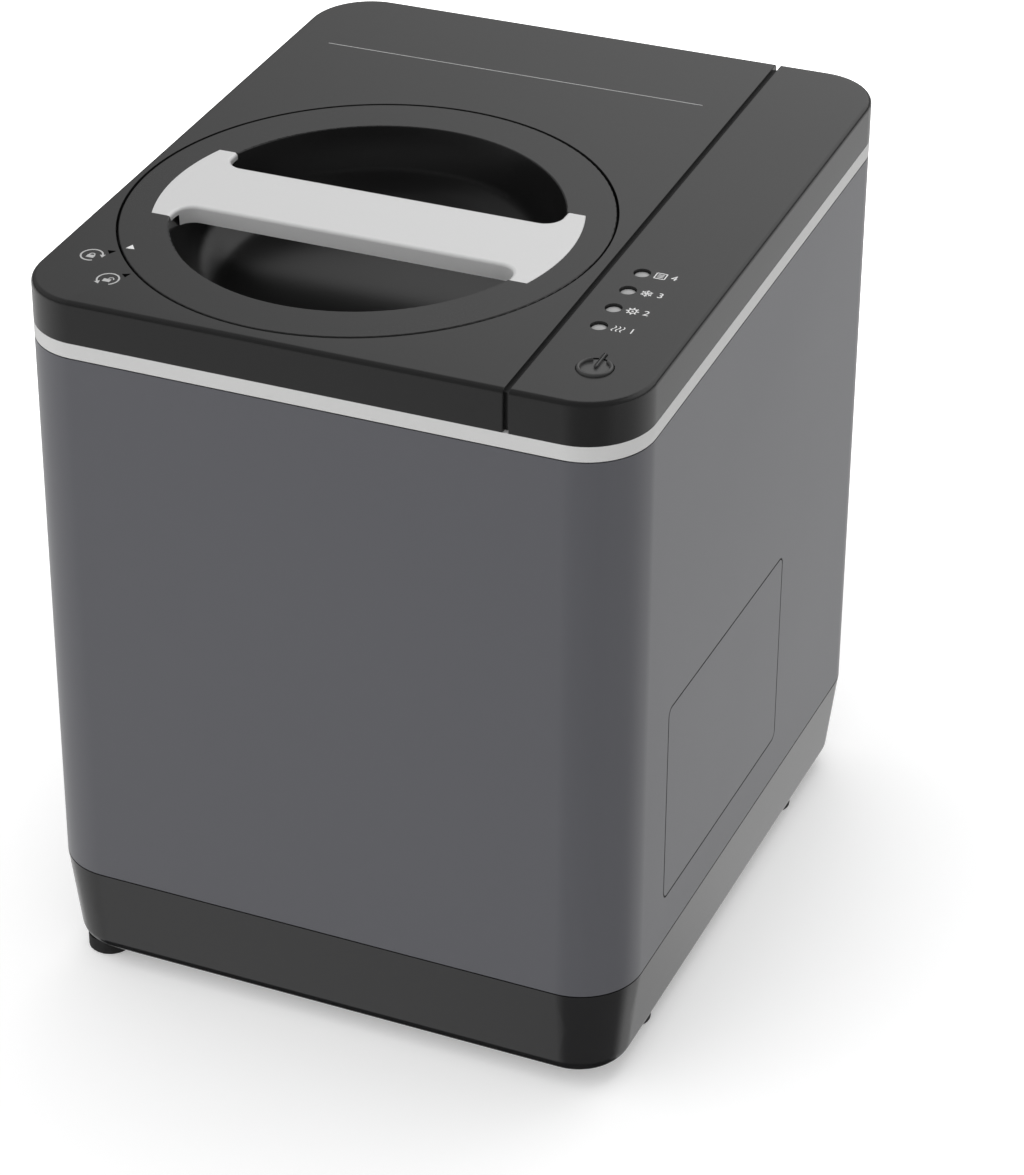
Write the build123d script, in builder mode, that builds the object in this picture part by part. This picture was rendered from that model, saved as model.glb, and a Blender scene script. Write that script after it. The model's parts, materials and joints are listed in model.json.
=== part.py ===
from build123d import *
import os
from math import atan2, cos, degrees, pi, radians, sin, sqrt, tan

# Electric food waste composter. Millimetres, +Z up, front faces -Y.
# The origin is on the table, under the middle of the machine.

# ---------------------------------------------------------------- outside of the machine
width = 279.4
depth = 320.0
height = 360.7
corner_radius = 29.0
wall = 2.5
seam = 0.6
bite = 1.0
top_slope = 3.6
cover_height = 19.2
band_height = 6.8
cover_edge_radius = 2.4

# ---------------------------------------------------------------- base
foot_height = 7.5
foot_radius = 10.3
foot_inset_side = 19.6
foot_inset_left = 21.6
foot_inset_right = 66.0
foot_screw_shift = 3.0
skirt_height = 46.5
skirt_taper = 6.6
skirt_edge_radius = 8.5
tray_floor = 3.0
side_recess_front = 83.0
side_recess_rear = 25.0
side_recess_height = 4.9
chassis_thickness = 2.0
chassis_gap = 2.3
chassis_clearance = 1.5
chassis_post_inset_side = 39.7
chassis_post_inset_end = 60.0
foot_chamfer = 0.8
foot_boss_height = 8.0
plate_post_rise = 5.0
upstand_height = 4.0
upstand_root = 14.0
rail_width = 8.0
rail_height = 4.0
post_radius = 5.0
post_wall = 2.2
base_vent_length = 70.0
base_vent_count = 9
base_vent_x = -48.0

# ---------------------------------------------------------------- lid and the opening it closes
lid_side_margin = 5.1
lid_front_margin = 8.3
lid_strip_margin = 7.1
lid_gap = 1.0
lid_ring_thickness = 5.5
lid_skirt_depth = 11.0
lid_edge_radius = 0.6
rim_edge_radius = 0.5
dish_rim_width = 21.6
dish_slant = 9.5
dish_depth = 30.0
dish_bend = 18.0
dish_wall = 2.5
dish_edge_radius = 0.8
flange_overlap = 8.1
flange_half_width = 32.2
flange_thickness = 3.0
bar_half_width = 20.0
bar_thickness = 8.0
bar_edge_radius = 1.6
bar_end_gap = 0.5
notch_radius = 8.0
pocket_gap = 0.15
handle_screw_radius = 1.5
handle_screw_clearance = 0.2
handle_screw_head_radius = 2.6
handle_screw_head_height = 1.6
handle_screw_angle = 15.0
ledge_reach = 10.9
ledge_drop = 12.0
ledge_thickness = 3.0
lug_wall_gap = 1.2
lug_wall_thickness = 2.5
lug_wall_drop = 19.0
lug_reach = 2.8
lug_width = 14.0
lug_height = 3.0
lug_gap = 0.6
lid_twist = 11.4
lid_lugs = 3
collar_gap = 2.3
collar_wall = 2.5
collar_drop = 24.0
gasket_thickness = 2.0
gasket_reach = 2.0
plate_flange_drop = 20.0
plate_flange_gap = 3.0
plate_thickness = 2.0
plate_well_gap = 3.5
plate_drop = 40.0
seal_gap = 4.5
seal_inset = 0.5
pivot_radius = 4.0
pivot_boss_radius = 8.8
pivot_head_radius = 8.0
pivot_head_height = 3.0
running_gap = 0.06
face_gap = 0.1
pivot_end_gap = 0.3
magnet_radius = 3.0
magnet_height = 3.5
lid_switch_size = (6.0, 16.0, 7.0)
lid_switch_gap = 0.5

# ---------------------------------------------------------------- control strip
strip_width = 53.0
groove_width = 2.4
groove_edge_radius = 0.4
tongue_reach = 7.0
lens_inset_side = 38.1
lens_inset_front = 61.2
lens_pitch = 15.9
lens_count = 4
lens_radius = 3.7
lens_recess = 0.9
lens_length = 8.0
led_radius = 2.5
led_gap = 1.0
lens_flange = 1.0
lens_flange_height = 1.2
button_inset_side = 26.8
button_inset_front = 29.0
button_radius = 7.6
button_gap = 0.35
button_travel = 1.2
button_sink = 0.4
symbol_height = 1.5
symbol_width = 1.7
symbol_bar = 11.6
symbol_gap = 5.4
stem_radius = 2.5
plunger_radius = 1.5
plunger_seat = 0.3
switch_size = 6.0
switch_height = 4.0
switch_gap = 0.5
board_drop = 14.0
board_thickness = 1.6
board_corner = 2.0
board_gap = 1.0
board_front_margin = 5.0
board_rear_margin = 15.0

# ---------------------------------------------------------------- bucket and the well it stands in
well_lip = 9.0
well_wall = 2.0
tab_reach = 4.0
tab_radius = 4.0
tab_length = 14.0
tab_width = 12.0
tab_screw_length = 8.0
bucket_gap = 13.5
bucket_wall = 2.0
bucket_foot = 4.0
bucket_floor = 2.5
bucket_headroom = 6.45
rim_reach = 2.5
rim_height = 2.0
foot_ring_inset = 15.0
foot_ring_width = 4.0
key_width = 8.0
key_height = 3.0
key_gap = 0.5
ear_drop = 10.0
ear_radius = 5.0
ear_length = 5.0
bail_gap = 3.0
bail_wire = 2.0
bail_pin_gap = 0.5
bail_knuckle = 2.4
grip_radius = 4.3
grip_angle = 54.0
bush_radius = 12.0
bush_wall = 2.0
bush_height = 12.0
shaft_radius = 8.0
shaft_end_gap = 0.5
arm_gap = 8.0
arm_lift = 2.0
arm_step = 8.0
arm_height = 8.0
arm_width = 12.0
arm_clearance = 4.0
fixed_blade_lift = 13.5
fixed_blade_height = 6.0
fixed_blade_gap = 8.0
fixed_blade_width = 8.0
hub_radius = 17.0
hub_crown = 6.0
hub_gap = 0.8
arm_root = 1.0
arm_chamfer = 1.5
bucket_outer_fillet = 4.0
bucket_inner_fillet = 3.0
seal_lip = 1.0

# ---------------------------------------------------------------- drive
gear_module = 2.0
gear_teeth = 56
pinion_teeth = 14
gear_width = 10.0
gear_pressure_angle = 25.0
gear_backlash = 0.3
gear_root = 1.25
gear_side_room = 2.5
gear_spokes = 6
gear_hole_radius = 11.2
gear_hole_place = 32.5
gearbox_height = 20.0
gearbox_wall = 3.0
gearbox_gap = 5.0
gearbox_post_inset = 6.0
spindle_radius = 6.0
bearing_radius = 10.0
bearing_height = 9.0
hex_radius = 4.6
hex_gap = 0.5
hex_length = 10.5
hex_end_gap = 1.3
spindle_step_gap = 1.8
motor_radius = 30.0
motor_length = 54.0
motor_lift = 5.7
motor_chamfer = 2.0
motor_band_low = 14.0
motor_band_height = 26.0
motor_band_reach = 1.5
motor_band_bite = 0.5
motor_opening_inset = 8.0
motor_shaft_radius = 4.0
motor_shaft_depth = 16.0
motor_shaft_clearance = 1.0
well_post_gap = 1.0
heater_inner_radius = 30.0
heater_inset = 18.5
heater_thickness = 4.0
heater_gap = 3.0
thermostat_radius = 8.0
thermostat_height = 6.0

# ---------------------------------------------------------------- filters and air path
hatch_inset_front = 53.8
hatch_length = 144.0
hatch_bottom = 76.5
hatch_height = 97.7
hatch_corner = 4.0
hatch_gap = 0.4
hatch_thickness = 3.0
hatch_rim_inset = 5.0
hatch_rim_width = 2.0
hatch_rim_corner = 2.0
rim_depth = 3.3
hatch_gasket_thickness = 1.2
housing_inset = 4.0
housing_drop = 3.0
filter_gap = 0.5
sleeve_wall = 1.2
sleeve_stop = 4.0
sleeve_gap = 11.6
sleeve_end_gap = 0.3
filter_length = 54.0
filter_inset = 3.0
filter_bore = 12.0
filter_end = 4.0
filter_pull_depth = 2.0
filter_pull_width = 4.0
filter_band_width = 24.0
filter_band_depth = 1.5
filter_wall = 2.5
filter_depth = 62.0
duct_radius = 13.0
duct_wall = 1.5
duct_drop = 34.0
duct_setback = 20.0
exhaust_hole = 22.0
exhaust_size = 80.0
exhaust_width = 25.0
exhaust_inset = 71.7
exhaust_z = 125.0
cooling_size = 60.0
cooling_width = 20.0
cooling_inset = 61.7
cooling_z = 125.0
fan_tip_gap = 1.5
fan_wall = 2.5
fan_blades = 7
fan_blade_thickness = 1.6
fan_blade_pitch = 40.0
fan_hub_share = 0.22
fan_hole_inset = 4.5
fan_hole_radius = 2.0
fan_strut = 3.0
fan_front_gap = 2.0
fan_rear_gap = 4.0
fan_blade_inset = 1.5
fan_pin_radius = 1.5
fan_pin_length = 12.0
vent_slot = 3.0
vent_rows = 7
vent_inset = 5.0
grille_inset = 3.0
slat_inset = 6.0
inlet_x_inset = 61.7
inlet_z = 78.0
inlet_width = 30.0
inlet_height = 23.0
inlet_depth = 22.0
inlet_setback = 0.5
inlet_corner = 2.0
socket_width = 24.0
socket_height = 16.5
socket_corner = 3.0
socket_depth = 16.0
pin_width = 2.0
pin_height = 4.0
pin_spread = 7.0
pin_raise = 2.0
pin_tail = 6.0
pin_reach = 11.0

# ---------------------------------------------------------------- fasteners
screw_radius = 2.0
screw_head_radius = 3.6
screw_head_height = 2.4
screw_clearance = 0.2
screw_inset = 18.0
screw_end_gap = 1.0
cover_screw_inset = 24.7
cover_screw_grip = 10.0
foot_screw_gap = 2.0
shell_screw_grip = 8.0
chassis_screw_length = 12.0
chassis_screw_hole = 5.0
pad_size = 13.0
pad_thickness = 4.0
boss_radius = 4.6
ledge_width = 8.0
band_floor = 2.0

# ---------------------------------------------------------------- control electronics
main_board_gap = 8.0
main_board_front = 70.0
main_board_length = 120.0
main_board_lift = 8.0
main_board_height = 80.0
bracket_thickness = 2.0
bracket_foot = 12.0
standoff_radius = 2.5
standoff_length = 3.0
standoff_inset = 6.0
transformer = (26.0, 32.0, 30.0)
transformer_place = (10.0, 8.0)
relay = (16.0, 20.0, 18.0)
relay_place = (54.0, 12.0)
controller = (8.0, 25.0, 24.0)
controller_place = (60.0, 44.0)
capacitor_radius = 7.0
capacitor_length = 24.0
capacitor_places = ((86.0, 24.0), (104.0, 24.0))

# ---------------------------------------------------------------- worked out from the sizes above
rise = depth * tan(radians(top_slope))
top_front = height - rise
band_top = top_front - cover_height
band_bottom = band_top - band_height
tray_bottom = foot_height
joint_height = tray_bottom + skirt_height
tray_top = joint_height - seam / 2
shell_bottom = joint_height + seam / 2
slope_normal = Vector(0, -sin(radians(top_slope)), cos(radians(top_slope)))
groove_x = width / 2 - strip_width
groove_left = groove_x - groove_width / 2
groove_right = groove_x + groove_width / 2
lid_radius = (width - lid_side_margin - lid_strip_margin - strip_width) / 2
lid_x = lid_side_margin + lid_radius - width / 2
lid_y = lid_front_margin + lid_radius - depth / 2
opening_radius = lid_radius + lid_gap
recess_wall = opening_radius + wall
dish_radius = lid_radius - dish_rim_width
dish_foot = dish_radius - dish_slant
flange_radius = dish_radius + flange_overlap
ledge_radius = opening_radius - ledge_reach
ledge_bottom = ledge_drop + ledge_thickness
lug_wall_radius = ledge_radius - lug_wall_gap
collar_radius = ledge_radius + collar_gap
seal_drop = collar_drop + gasket_thickness
well_radius = collar_radius - well_lip
flange_tab_radius = collar_radius + collar_wall + tab_reach
plate_flange_radius = collar_radius - plate_flange_gap
plate_radius = well_radius - plate_well_gap
seal_inner_radius = plate_radius + seal_gap
bucket_x = lid_x
bucket_y = lid_y + seal_drop * sin(radians(top_slope))
bucket_radius = well_radius - bucket_gap
rim_radius = bucket_radius + rim_reach
foot_ring_radius = bucket_radius - foot_ring_inset
ear_reach = bucket_radius + ear_length
bail_radius = ear_reach + bail_gap
lens_x = width / 2 - lens_inset_side
lens_first_y = lens_inset_front - depth / 2
button_x = width / 2 - button_inset_side
button_y = button_inset_front - depth / 2
pitch_radius = gear_module * gear_teeth / 2
pinion_pitch_radius = gear_module * pinion_teeth / 2
motor_y = bucket_y + pitch_radius + pinion_pitch_radius
chassis_z = joint_height + chassis_gap
chassis_top = chassis_z + chassis_thickness
gearbox_floor_z = chassis_top + motor_lift + motor_length
gearbox_top = gearbox_floor_z + gearbox_height
upper_bearing_top = gearbox_top + bearing_height
well_floor_z = upper_bearing_top + heater_gap + heater_thickness
bucket_floor_z = well_floor_z + well_wall + bucket_foot
hatch_front = hatch_inset_front - depth / 2
hatch_rear = hatch_front + hatch_length
hatch_top = hatch_bottom + hatch_height
filter_z = hatch_bottom + hatch_height / 2
filter_mid_y = (hatch_front + hatch_rear) / 2
housing_front = hatch_front + housing_inset
housing_rear = hatch_rear - housing_inset
sleeve_outer = (hatch_length / 2 - housing_inset - filter_wall - sleeve_end_gap - sleeve_gap / 2) / 2
sleeve_radius = sleeve_outer - sleeve_wall
filter_radius = sleeve_radius - filter_gap
filter_pitch = 2 * sleeve_outer + sleeve_gap
housing_bottom = hatch_bottom + housing_drop
housing_top = hatch_top - housing_drop
hatch_back = width / 2 - hatch_thickness
housing_mouth = hatch_back - rim_depth - face_gap
housing_back = housing_mouth - filter_depth
rear_inside = depth / 2 - wall
exhaust_x = width / 2 - exhaust_inset
cooling_x = cooling_inset - width / 2
inlet_x = inlet_x_inset - width / 2

standing = (Align.CENTER, Align.CENTER, Align.MIN)
hanging = (Align.CENTER, Align.CENTER, Align.MAX)


def top_height(y):
    """Height of the sloping top above a place on the table."""
    return top_front + (y + depth / 2) * tan(radians(top_slope))


def slope_plane(front_height):
    """Plane parallel to the sloping top, at this height above the front edge."""
    return Plane(origin=(0, -depth / 2, front_height), x_dir=(1, 0, 0), z_dir=slope_normal)


def top_plane(x, y, drop):
    """Plane parallel to the sloping top, under the point (x, y) of its surface."""
    surface = Vector(x, y, top_height(y))
    return Plane(origin=surface - slope_normal * drop, x_dir=(1, 0, 0), z_dir=slope_normal)


def lid_plane(drop):
    """Plane across the lid's axis, this far below the lid's face."""
    return top_plane(lid_x, lid_y, drop)


plate_edge = lid_plane(plate_drop).origin.Z - plate_radius * sin(radians(top_slope))
bucket_rim_z = plate_edge - bucket_headroom
ear_z = bucket_rim_z - ear_drop
duct_z = bucket_rim_z - duct_drop

lid_axis = Axis(lid_plane(0).origin, slope_normal)
lid_section = Plane(
    origin=lid_plane(0).origin,
    x_dir=(1, 0, 0),
    z_dir=Vector(1, 0, 0).cross(slope_normal),
)


def save(piece, name):
    """Label a finished piece and write its STEP file."""
    piece.label = name
    export_step(piece, "parts/" + name + ".step")


def slanted_block(inset, low, high):
    """Rounded block set in from the sides, between two slopes given at the front edge."""
    with BuildPart(mode=Mode.PRIVATE) as block:
        with BuildSketch(Plane.XY):
            RectangleRounded(width - 2 * inset, depth - 2 * inset, corner_radius - inset)
        extrude(amount=2 * height)
        split(bisect_by=slope_plane(low), keep=Keep.TOP)
        split(bisect_by=slope_plane(high), keep=Keep.BOTTOM)
    return block.part


def shell_block(inset, low, high):
    """Rounded block set in from the sides, flat below and sloping above."""
    with BuildPart(mode=Mode.PRIVATE) as block:
        with BuildSketch(Plane.XY.offset(low)):
            RectangleRounded(width - 2 * inset, depth - 2 * inset, corner_radius - inset)
        extrude(amount=2 * height)
        split(bisect_by=slope_plane(high), keep=Keep.BOTTOM)
    return block.part


def ring(plane, inner, outer, length):
    """Ring or disc that stands on a plane."""
    with BuildPart(mode=Mode.PRIVATE) as shape:
        with BuildSketch(plane):
            Circle(outer)
            if inner:
                Circle(inner, mode=Mode.SUBTRACT)
        extrude(amount=length)
    return shape.part


def lid_ring(inner, outer, top_drop, bottom_drop):
    """Ring or disc round the lid's axis, between two depths below the lid's face."""
    return ring(lid_plane(bottom_drop), inner, outer, bottom_drop - top_drop)


def bucket_ring(inner, outer, low, high):
    """Upright ring or disc round the bucket's axis, between two heights."""
    return ring(Plane((bucket_x, bucket_y, low)), inner, outer, high - low)


def sector(plane, inner, outer, start, sweep_angle, length):
    """Part of a ring that stands on a plane, from a start angle in degrees."""
    with BuildPart(mode=Mode.PRIVATE) as shape:
        with BuildSketch(plane):
            with BuildLine():
                CenterArc((0, 0), outer, start, sweep_angle)
                CenterArc((0, 0), inner, start, sweep_angle)
                for angle in (start, start + sweep_angle):
                    inner_end = (inner * cos(radians(angle)), inner * sin(radians(angle)))
                    PolarLine(inner_end, outer - inner, angle)
            make_face()
        extrude(amount=length)
    return shape.part


def bar(x_range, y_range, z_range):
    """Plain block between two corners."""
    with BuildPart(mode=Mode.PRIVATE) as shape:
        with BuildSketch(Plane.XY.offset(z_range[0])):
            with Locations(((x_range[0] + x_range[1]) / 2, (y_range[0] + y_range[1]) / 2)):
                Rectangle(x_range[1] - x_range[0], y_range[1] - y_range[0])
        extrude(amount=z_range[1] - z_range[0])
    return shape.part


def bowl(rim, foot, deep, bend):
    """Solid the shape of the lid's dish, from its rim at the lid's face downwards."""
    with BuildPart(mode=Mode.PRIVATE) as shape:
        with BuildSketch(lid_section) as profile:
            with BuildLine():
                Polyline((0, 0), (rim, 0), (foot, -deep), (0, -deep), close=True)
            make_face()
            fillet(profile.vertices().sort_by_distance((foot, -deep))[0], bend)
        revolve(axis=lid_axis)
    return shape.part


def screw(length):
    """Pan-head screw: its shank rises from the origin, and its head hangs below."""
    with BuildPart(mode=Mode.PRIVATE) as fastener:
        with BuildSketch(Plane.XY):
            Circle(screw_radius)
        extrude(amount=length)
        with BuildSketch(Plane.XY):
            Circle(screw_head_radius)
        extrude(amount=-screw_head_height)
        with BuildSketch(Plane.XY.offset(-screw_head_height)):
            RegularPolygon(screw_radius, 6)
        extrude(amount=screw_head_height / 2, mode=Mode.SUBTRACT)
    return fastener.part


corner_points = [
    (side * (width / 2 - screw_inset), end * (depth / 2 - screw_inset))
    for side in (-1, 1)
    for end in (-1, 1)
]
cover_screw_x = groove_x - cover_screw_inset
middle_points = [(cover_screw_x, end * (depth / 2 - pad_size / 2 - wall)) for end in (-1, 1)]
cover_points = [point for point in corner_points if point[0] < 0] + middle_points
strip_points = [point for point in corner_points if point[0] > 0]
top_points = cover_points + strip_points


def wall_pads(low, high):
    """Screw pads inside the walls at the top, between two slopes given at the front edge."""
    with BuildPart(mode=Mode.PRIVATE) as pads:
        with BuildSketch(Plane.XY):
            with Locations(*corner_points):
                Rectangle(2 * screw_inset, 2 * screw_inset)
            with Locations(*middle_points):
                Rectangle(2 * pad_size, pad_size + wall)
            RectangleRounded(width - 2 * wall, depth - 2 * wall, corner_radius - wall, mode=Mode.INTERSECT)
        extrude(amount=2 * height)
        split(bisect_by=slope_plane(low), keep=Keep.TOP)
        split(bisect_by=slope_plane(high), keep=Keep.BOTTOM)
    return pads.part


os.makedirs("parts", exist_ok=True)

# ================================================================ base tray, feet, chassis


def places_under(inset_side, inset_left, inset_right):
    """Places under the tray, given by their insets from the sides and from the ends at left and right."""
    return [
        (side * (width / 2 - inset_side), end * (depth / 2 - inset_end))
        for side, inset_end in ((-1, inset_left), (1, inset_right))
        for end in (-1, 1)
    ]


foot_places = places_under(foot_inset_side, foot_inset_left, foot_inset_right)
foot_screw_places = places_under(
    foot_inset_side + foot_screw_shift, foot_inset_left + foot_screw_shift, foot_inset_right + foot_screw_shift
)
foot_seat = foot_height / 2
tray_inside = tray_bottom + tray_floor
plate_post_top = tray_top + plate_post_rise
screw_seat_z = plate_post_top - shell_screw_grip
chassis_points = [
    (side * (width / 2 - chassis_post_inset_side), end * (depth / 2 - chassis_post_inset_end))
    for side in (-1, 1)
    for end in (-1, 1)
]
recess_start = side_recess_front - depth / 2
recess_end = depth / 2 - side_recess_rear
recess_middle = (recess_start + recess_end) / 2

with BuildPart() as base_tray:
    with BuildSketch(Plane.XY.offset(tray_top)):
        RectangleRounded(width, depth, corner_radius)
    extrude(amount=-(tray_top - tray_bottom), taper=skirt_taper)
    fillet(base_tray.faces().sort_by(Axis.Z)[0].edges(), skirt_edge_radius)
    with BuildSketch(Plane.XY.offset(tray_top)):
        RectangleRounded(width - 2 * wall, depth - 2 * wall, corner_radius - wall)
    extrude(amount=-(tray_top - tray_inside), taper=skirt_taper, mode=Mode.SUBTRACT)
    fillet(
        base_tray.edges().filter_by_position(Axis.Z, tray_inside, tray_inside),
        skirt_edge_radius - tray_floor,
    )
    with BuildSketch(Plane.XY.offset(tray_top - upstand_root)):
        RectangleRounded(width - 2 * wall - seam, depth - 2 * wall - seam, corner_radius - wall - seam / 2)
        RectangleRounded(
            width - 4 * wall, depth - 4 * wall, corner_radius - 2 * wall, mode=Mode.SUBTRACT
        )
    extrude(amount=upstand_root + upstand_height)
    with BuildSketch(Plane.XY.offset(tray_inside - bite)):
        for side in (-1, 1):
            with Locations((side * (width / 2 - 2 * rail_width), recess_middle)):
                Rectangle(2 * rail_width, recess_end - recess_start + rail_width)
    extrude(amount=rail_height + bite)
    with BuildSketch(Plane.XY.offset(tray_inside)):
        with Locations(*corner_points):
            Circle(screw_head_radius + screw_clearance + post_wall)
    extrude(amount=plate_post_top - tray_inside)
    with BuildSketch(Plane.XY.offset(tray_inside)):
        with Locations(*chassis_points):
            Circle(post_radius)
    extrude(amount=chassis_z - tray_inside)
    with BuildSketch(Plane.XY.offset(tray_inside)):
        with Locations(*foot_screw_places):
            Circle(post_radius)
    extrude(amount=foot_boss_height)
    with BuildSketch(Plane.XY):
        for side in (-1, 1):
            with Locations((side * width / 2, recess_middle)):
                Rectangle(3 * rail_width, recess_end - recess_start)
    extrude(amount=tray_bottom + side_recess_height, mode=Mode.SUBTRACT)
    with BuildSketch(Plane.XY):
        with Locations(*corner_points):
            Circle(screw_head_radius + screw_clearance)
    extrude(amount=screw_seat_z, mode=Mode.SUBTRACT)
    with BuildSketch(Plane.XY):
        with Locations(*corner_points):
            Circle(screw_radius + screw_clearance)
    extrude(amount=height / 2, mode=Mode.SUBTRACT)
    with BuildSketch(Plane.XY):
        with Locations(*foot_screw_places):
            Circle(screw_radius)
    extrude(amount=tray_inside + foot_boss_height - screw_end_gap, mode=Mode.SUBTRACT)
    with BuildSketch(Plane.XY.offset(tray_inside + chassis_screw_hole)):
        with Locations(*chassis_points):
            Circle(screw_radius)
    extrude(amount=height / 2, mode=Mode.SUBTRACT)
    with BuildSketch(Plane.XY):
        with Locations((base_vent_x, 0)):
            with GridLocations(2 * vent_slot, 0, base_vent_count, 1):
                SlotOverall(base_vent_length, vent_slot, rotation=90)
    extrude(amount=tray_inside + bite, mode=Mode.SUBTRACT)
save(base_tray.part, "base_tray")

with BuildPart() as feet:
    with BuildSketch(Plane.XY):
        with Locations(*foot_places):
            Circle(foot_radius)
    extrude(amount=foot_height)
    chamfer(feet.edges().group_by(Axis.Z)[0], foot_chamfer)
    with BuildSketch(Plane.XY):
        with Locations(*foot_screw_places):
            Circle(screw_head_radius + screw_clearance)
    extrude(amount=foot_seat, mode=Mode.SUBTRACT)
    with BuildSketch(Plane.XY):
        with Locations(*foot_screw_places):
            Circle(screw_radius + screw_clearance)
    extrude(amount=foot_height, mode=Mode.SUBTRACT)
save(feet.part, "feet")

with BuildPart() as foot_screws:
    with Locations(*[(x, y, foot_seat) for x, y in foot_screw_places]):
        add(screw(foot_height - foot_seat + tray_floor + foot_boss_height - foot_screw_gap))
save(foot_screws.part, "foot_screws")

with BuildPart() as shell_screws:
    with Locations(*[(x, y, screw_seat_z) for x, y in corner_points]):
        add(screw(shell_screw_grip + pad_thickness))
save(shell_screws.part, "shell_screws")

chassis_inset = 2 * wall + chassis_clearance
with BuildPart() as chassis_plate:
    with BuildSketch(Plane.XY.offset(chassis_z)):
        RectangleRounded(
            width - 2 * chassis_inset, depth - 2 * chassis_inset, corner_radius - chassis_inset
        )
        with Locations(*corner_points):
            Circle(screw_head_radius + screw_clearance + post_wall + chassis_gap, mode=Mode.SUBTRACT)
        with Locations(*chassis_points):
            Circle(screw_radius + screw_clearance, mode=Mode.SUBTRACT)
        with Locations((bucket_x, motor_y)):
            Circle(motor_radius - motor_opening_inset, mode=Mode.SUBTRACT)
    extrude(amount=chassis_thickness)
save(chassis_plate.part, "chassis_plate")

with BuildPart() as chassis_screws:
    with Locations(*[Plane((x, y, chassis_top), z_dir=(0, 0, -1)).location for x, y in chassis_points]):
        add(screw(chassis_screw_length))
save(chassis_screws.part, "chassis_screws")

# ================================================================ outer shell, trim band, covers
right_face = Plane(origin=(width / 2, filter_mid_y, filter_z), x_dir=(0, 1, 0), z_dir=(1, 0, 0))
rear_face = Plane(origin=(0, depth / 2, 0), x_dir=(-1, 0, 0), z_dir=(0, 1, 0))
grille_size = exhaust_size - 2 * grille_inset
screw_hole_drop = cover_height + band_height
shell_pads = wall_pads(band_bottom - pad_thickness, band_bottom)
shell_screw_hole = screw_radius + screw_clearance

with BuildPart() as outer_shell:
    add(shell_block(0, shell_bottom, band_bottom - seam))
    add(shell_block(wall, shell_bottom - bite, band_bottom), mode=Mode.SUBTRACT)
    add(shell_pads)
    with BuildSketch(Plane.XY.offset(plate_post_top)):
        with Locations(*corner_points):
            Rectangle(2 * screw_inset, 2 * screw_inset)
        RectangleRounded(width - 2 * wall, depth - 2 * wall, corner_radius - wall, mode=Mode.INTERSECT)
    extrude(amount=pad_thickness)
    with BuildSketch(Plane.XY):
        with Locations(*corner_points):
            Circle(screw_radius)
    extrude(amount=height / 2, mode=Mode.SUBTRACT)
    with Locations(*[top_plane(x, y, screw_hole_drop).location for x, y in top_points]):
        Cylinder(shell_screw_hole, 4 * (pad_thickness + band_floor), mode=Mode.SUBTRACT)
    with BuildSketch(right_face):
        RectangleRounded(hatch_length, hatch_height, hatch_corner)
    extrude(amount=-2 * wall, mode=Mode.SUBTRACT)
    with BuildSketch(rear_face):
        with Locations((-exhaust_x, exhaust_z)):
            RectangleRounded(grille_size, grille_size, hatch_corner)
        with Locations((-inlet_x, inlet_z)):
            Rectangle(inlet_width + 2 * hatch_gap, inlet_height + 2 * hatch_gap)
        with Locations((-cooling_x, cooling_z)):
            with GridLocations(0, 2.5 * vent_slot, 1, vent_rows):
                SlotOverall(cooling_size - 2 * vent_inset, vent_slot)
    extrude(amount=-2 * wall, mode=Mode.SUBTRACT)
save(outer_shell.part, "outer_shell")

band_pads = wall_pads(band_bottom, band_bottom + band_floor)
with BuildPart() as trim_band:
    add(slanted_block(0, band_bottom, band_top))
    add(slanted_block(wall, band_bottom + band_floor, band_top + bite), mode=Mode.SUBTRACT)
    add(slanted_block(ledge_width, band_bottom - bite, band_top + bite), mode=Mode.SUBTRACT)
    add(band_pads)
    with Locations(*[top_plane(x, y, screw_hole_drop).location for x, y in top_points]):
        Cylinder(shell_screw_hole, 4 * (pad_thickness + band_floor), mode=Mode.SUBTRACT)
save(trim_band.part, "trim_band")

with BuildPart(mode=Mode.PRIVATE) as cover_block:
    add(slanted_block(0, band_top, top_front))
    fillet(cover_block.faces().sort_by(Axis((0, 0, 0), slope_normal))[-1].edges(), cover_edge_radius)
    add(slanted_block(wall, band_top - bite, top_front - wall), mode=Mode.SUBTRACT)

boss_floor = cover_height + band_height - band_floor - face_gap


def cover_bosses(points):
    """Screw bosses from the underside of the covers down to the trim band's ledge."""
    with BuildPart(mode=Mode.PRIVATE) as bosses:
        for x, y in points:
            add(ring(top_plane(x, y, boss_floor), 0, boss_radius, boss_floor - wall / 2))
    return bosses.part


def boss_holes(points):
    """Blind screw holes in those bosses."""
    with BuildPart(mode=Mode.PRIVATE) as holes:
        for x, y in points:
            add(ring(top_plane(x, y, boss_floor + bite), 0, screw_radius, boss_floor - 2 * wall))
    return holes.part


def groove_edges(part, x):
    """Outer edges of a cover along the groove: over its top and down both its ends."""
    side = part.faces().filter_by(Axis.X).sort_by(lambda face: abs(face.center().X - x))[0]

    def outside(edge):
        """Whether an edge lies on the top or on an end, or on the rounding between them."""
        middle = edge @ 0.5
        drop = (top_height(middle.Y) - middle.Z) * cos(radians(top_slope))
        return drop < cover_edge_radius / 2 or depth / 2 - abs(middle.Y) < cover_edge_radius / 2 and (
            edge.length > wall + bite
        )

    return side.edges().filter_by(outside)


tongue_x = (groove_left - tongue_reach, groove_right + tongue_reach)
tongue_strip = bar(tongue_x, (-depth, depth), (0, 2 * height))
with BuildPart(mode=Mode.PRIVATE) as groove_tongue:
    add(slanted_block(wall, band_top, top_front - wall))
    add(slanted_block(2 * wall, band_top - bite, top_front - 2 * wall), mode=Mode.SUBTRACT)
    add(tongue_strip, mode=Mode.INTERSECT)

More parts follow.
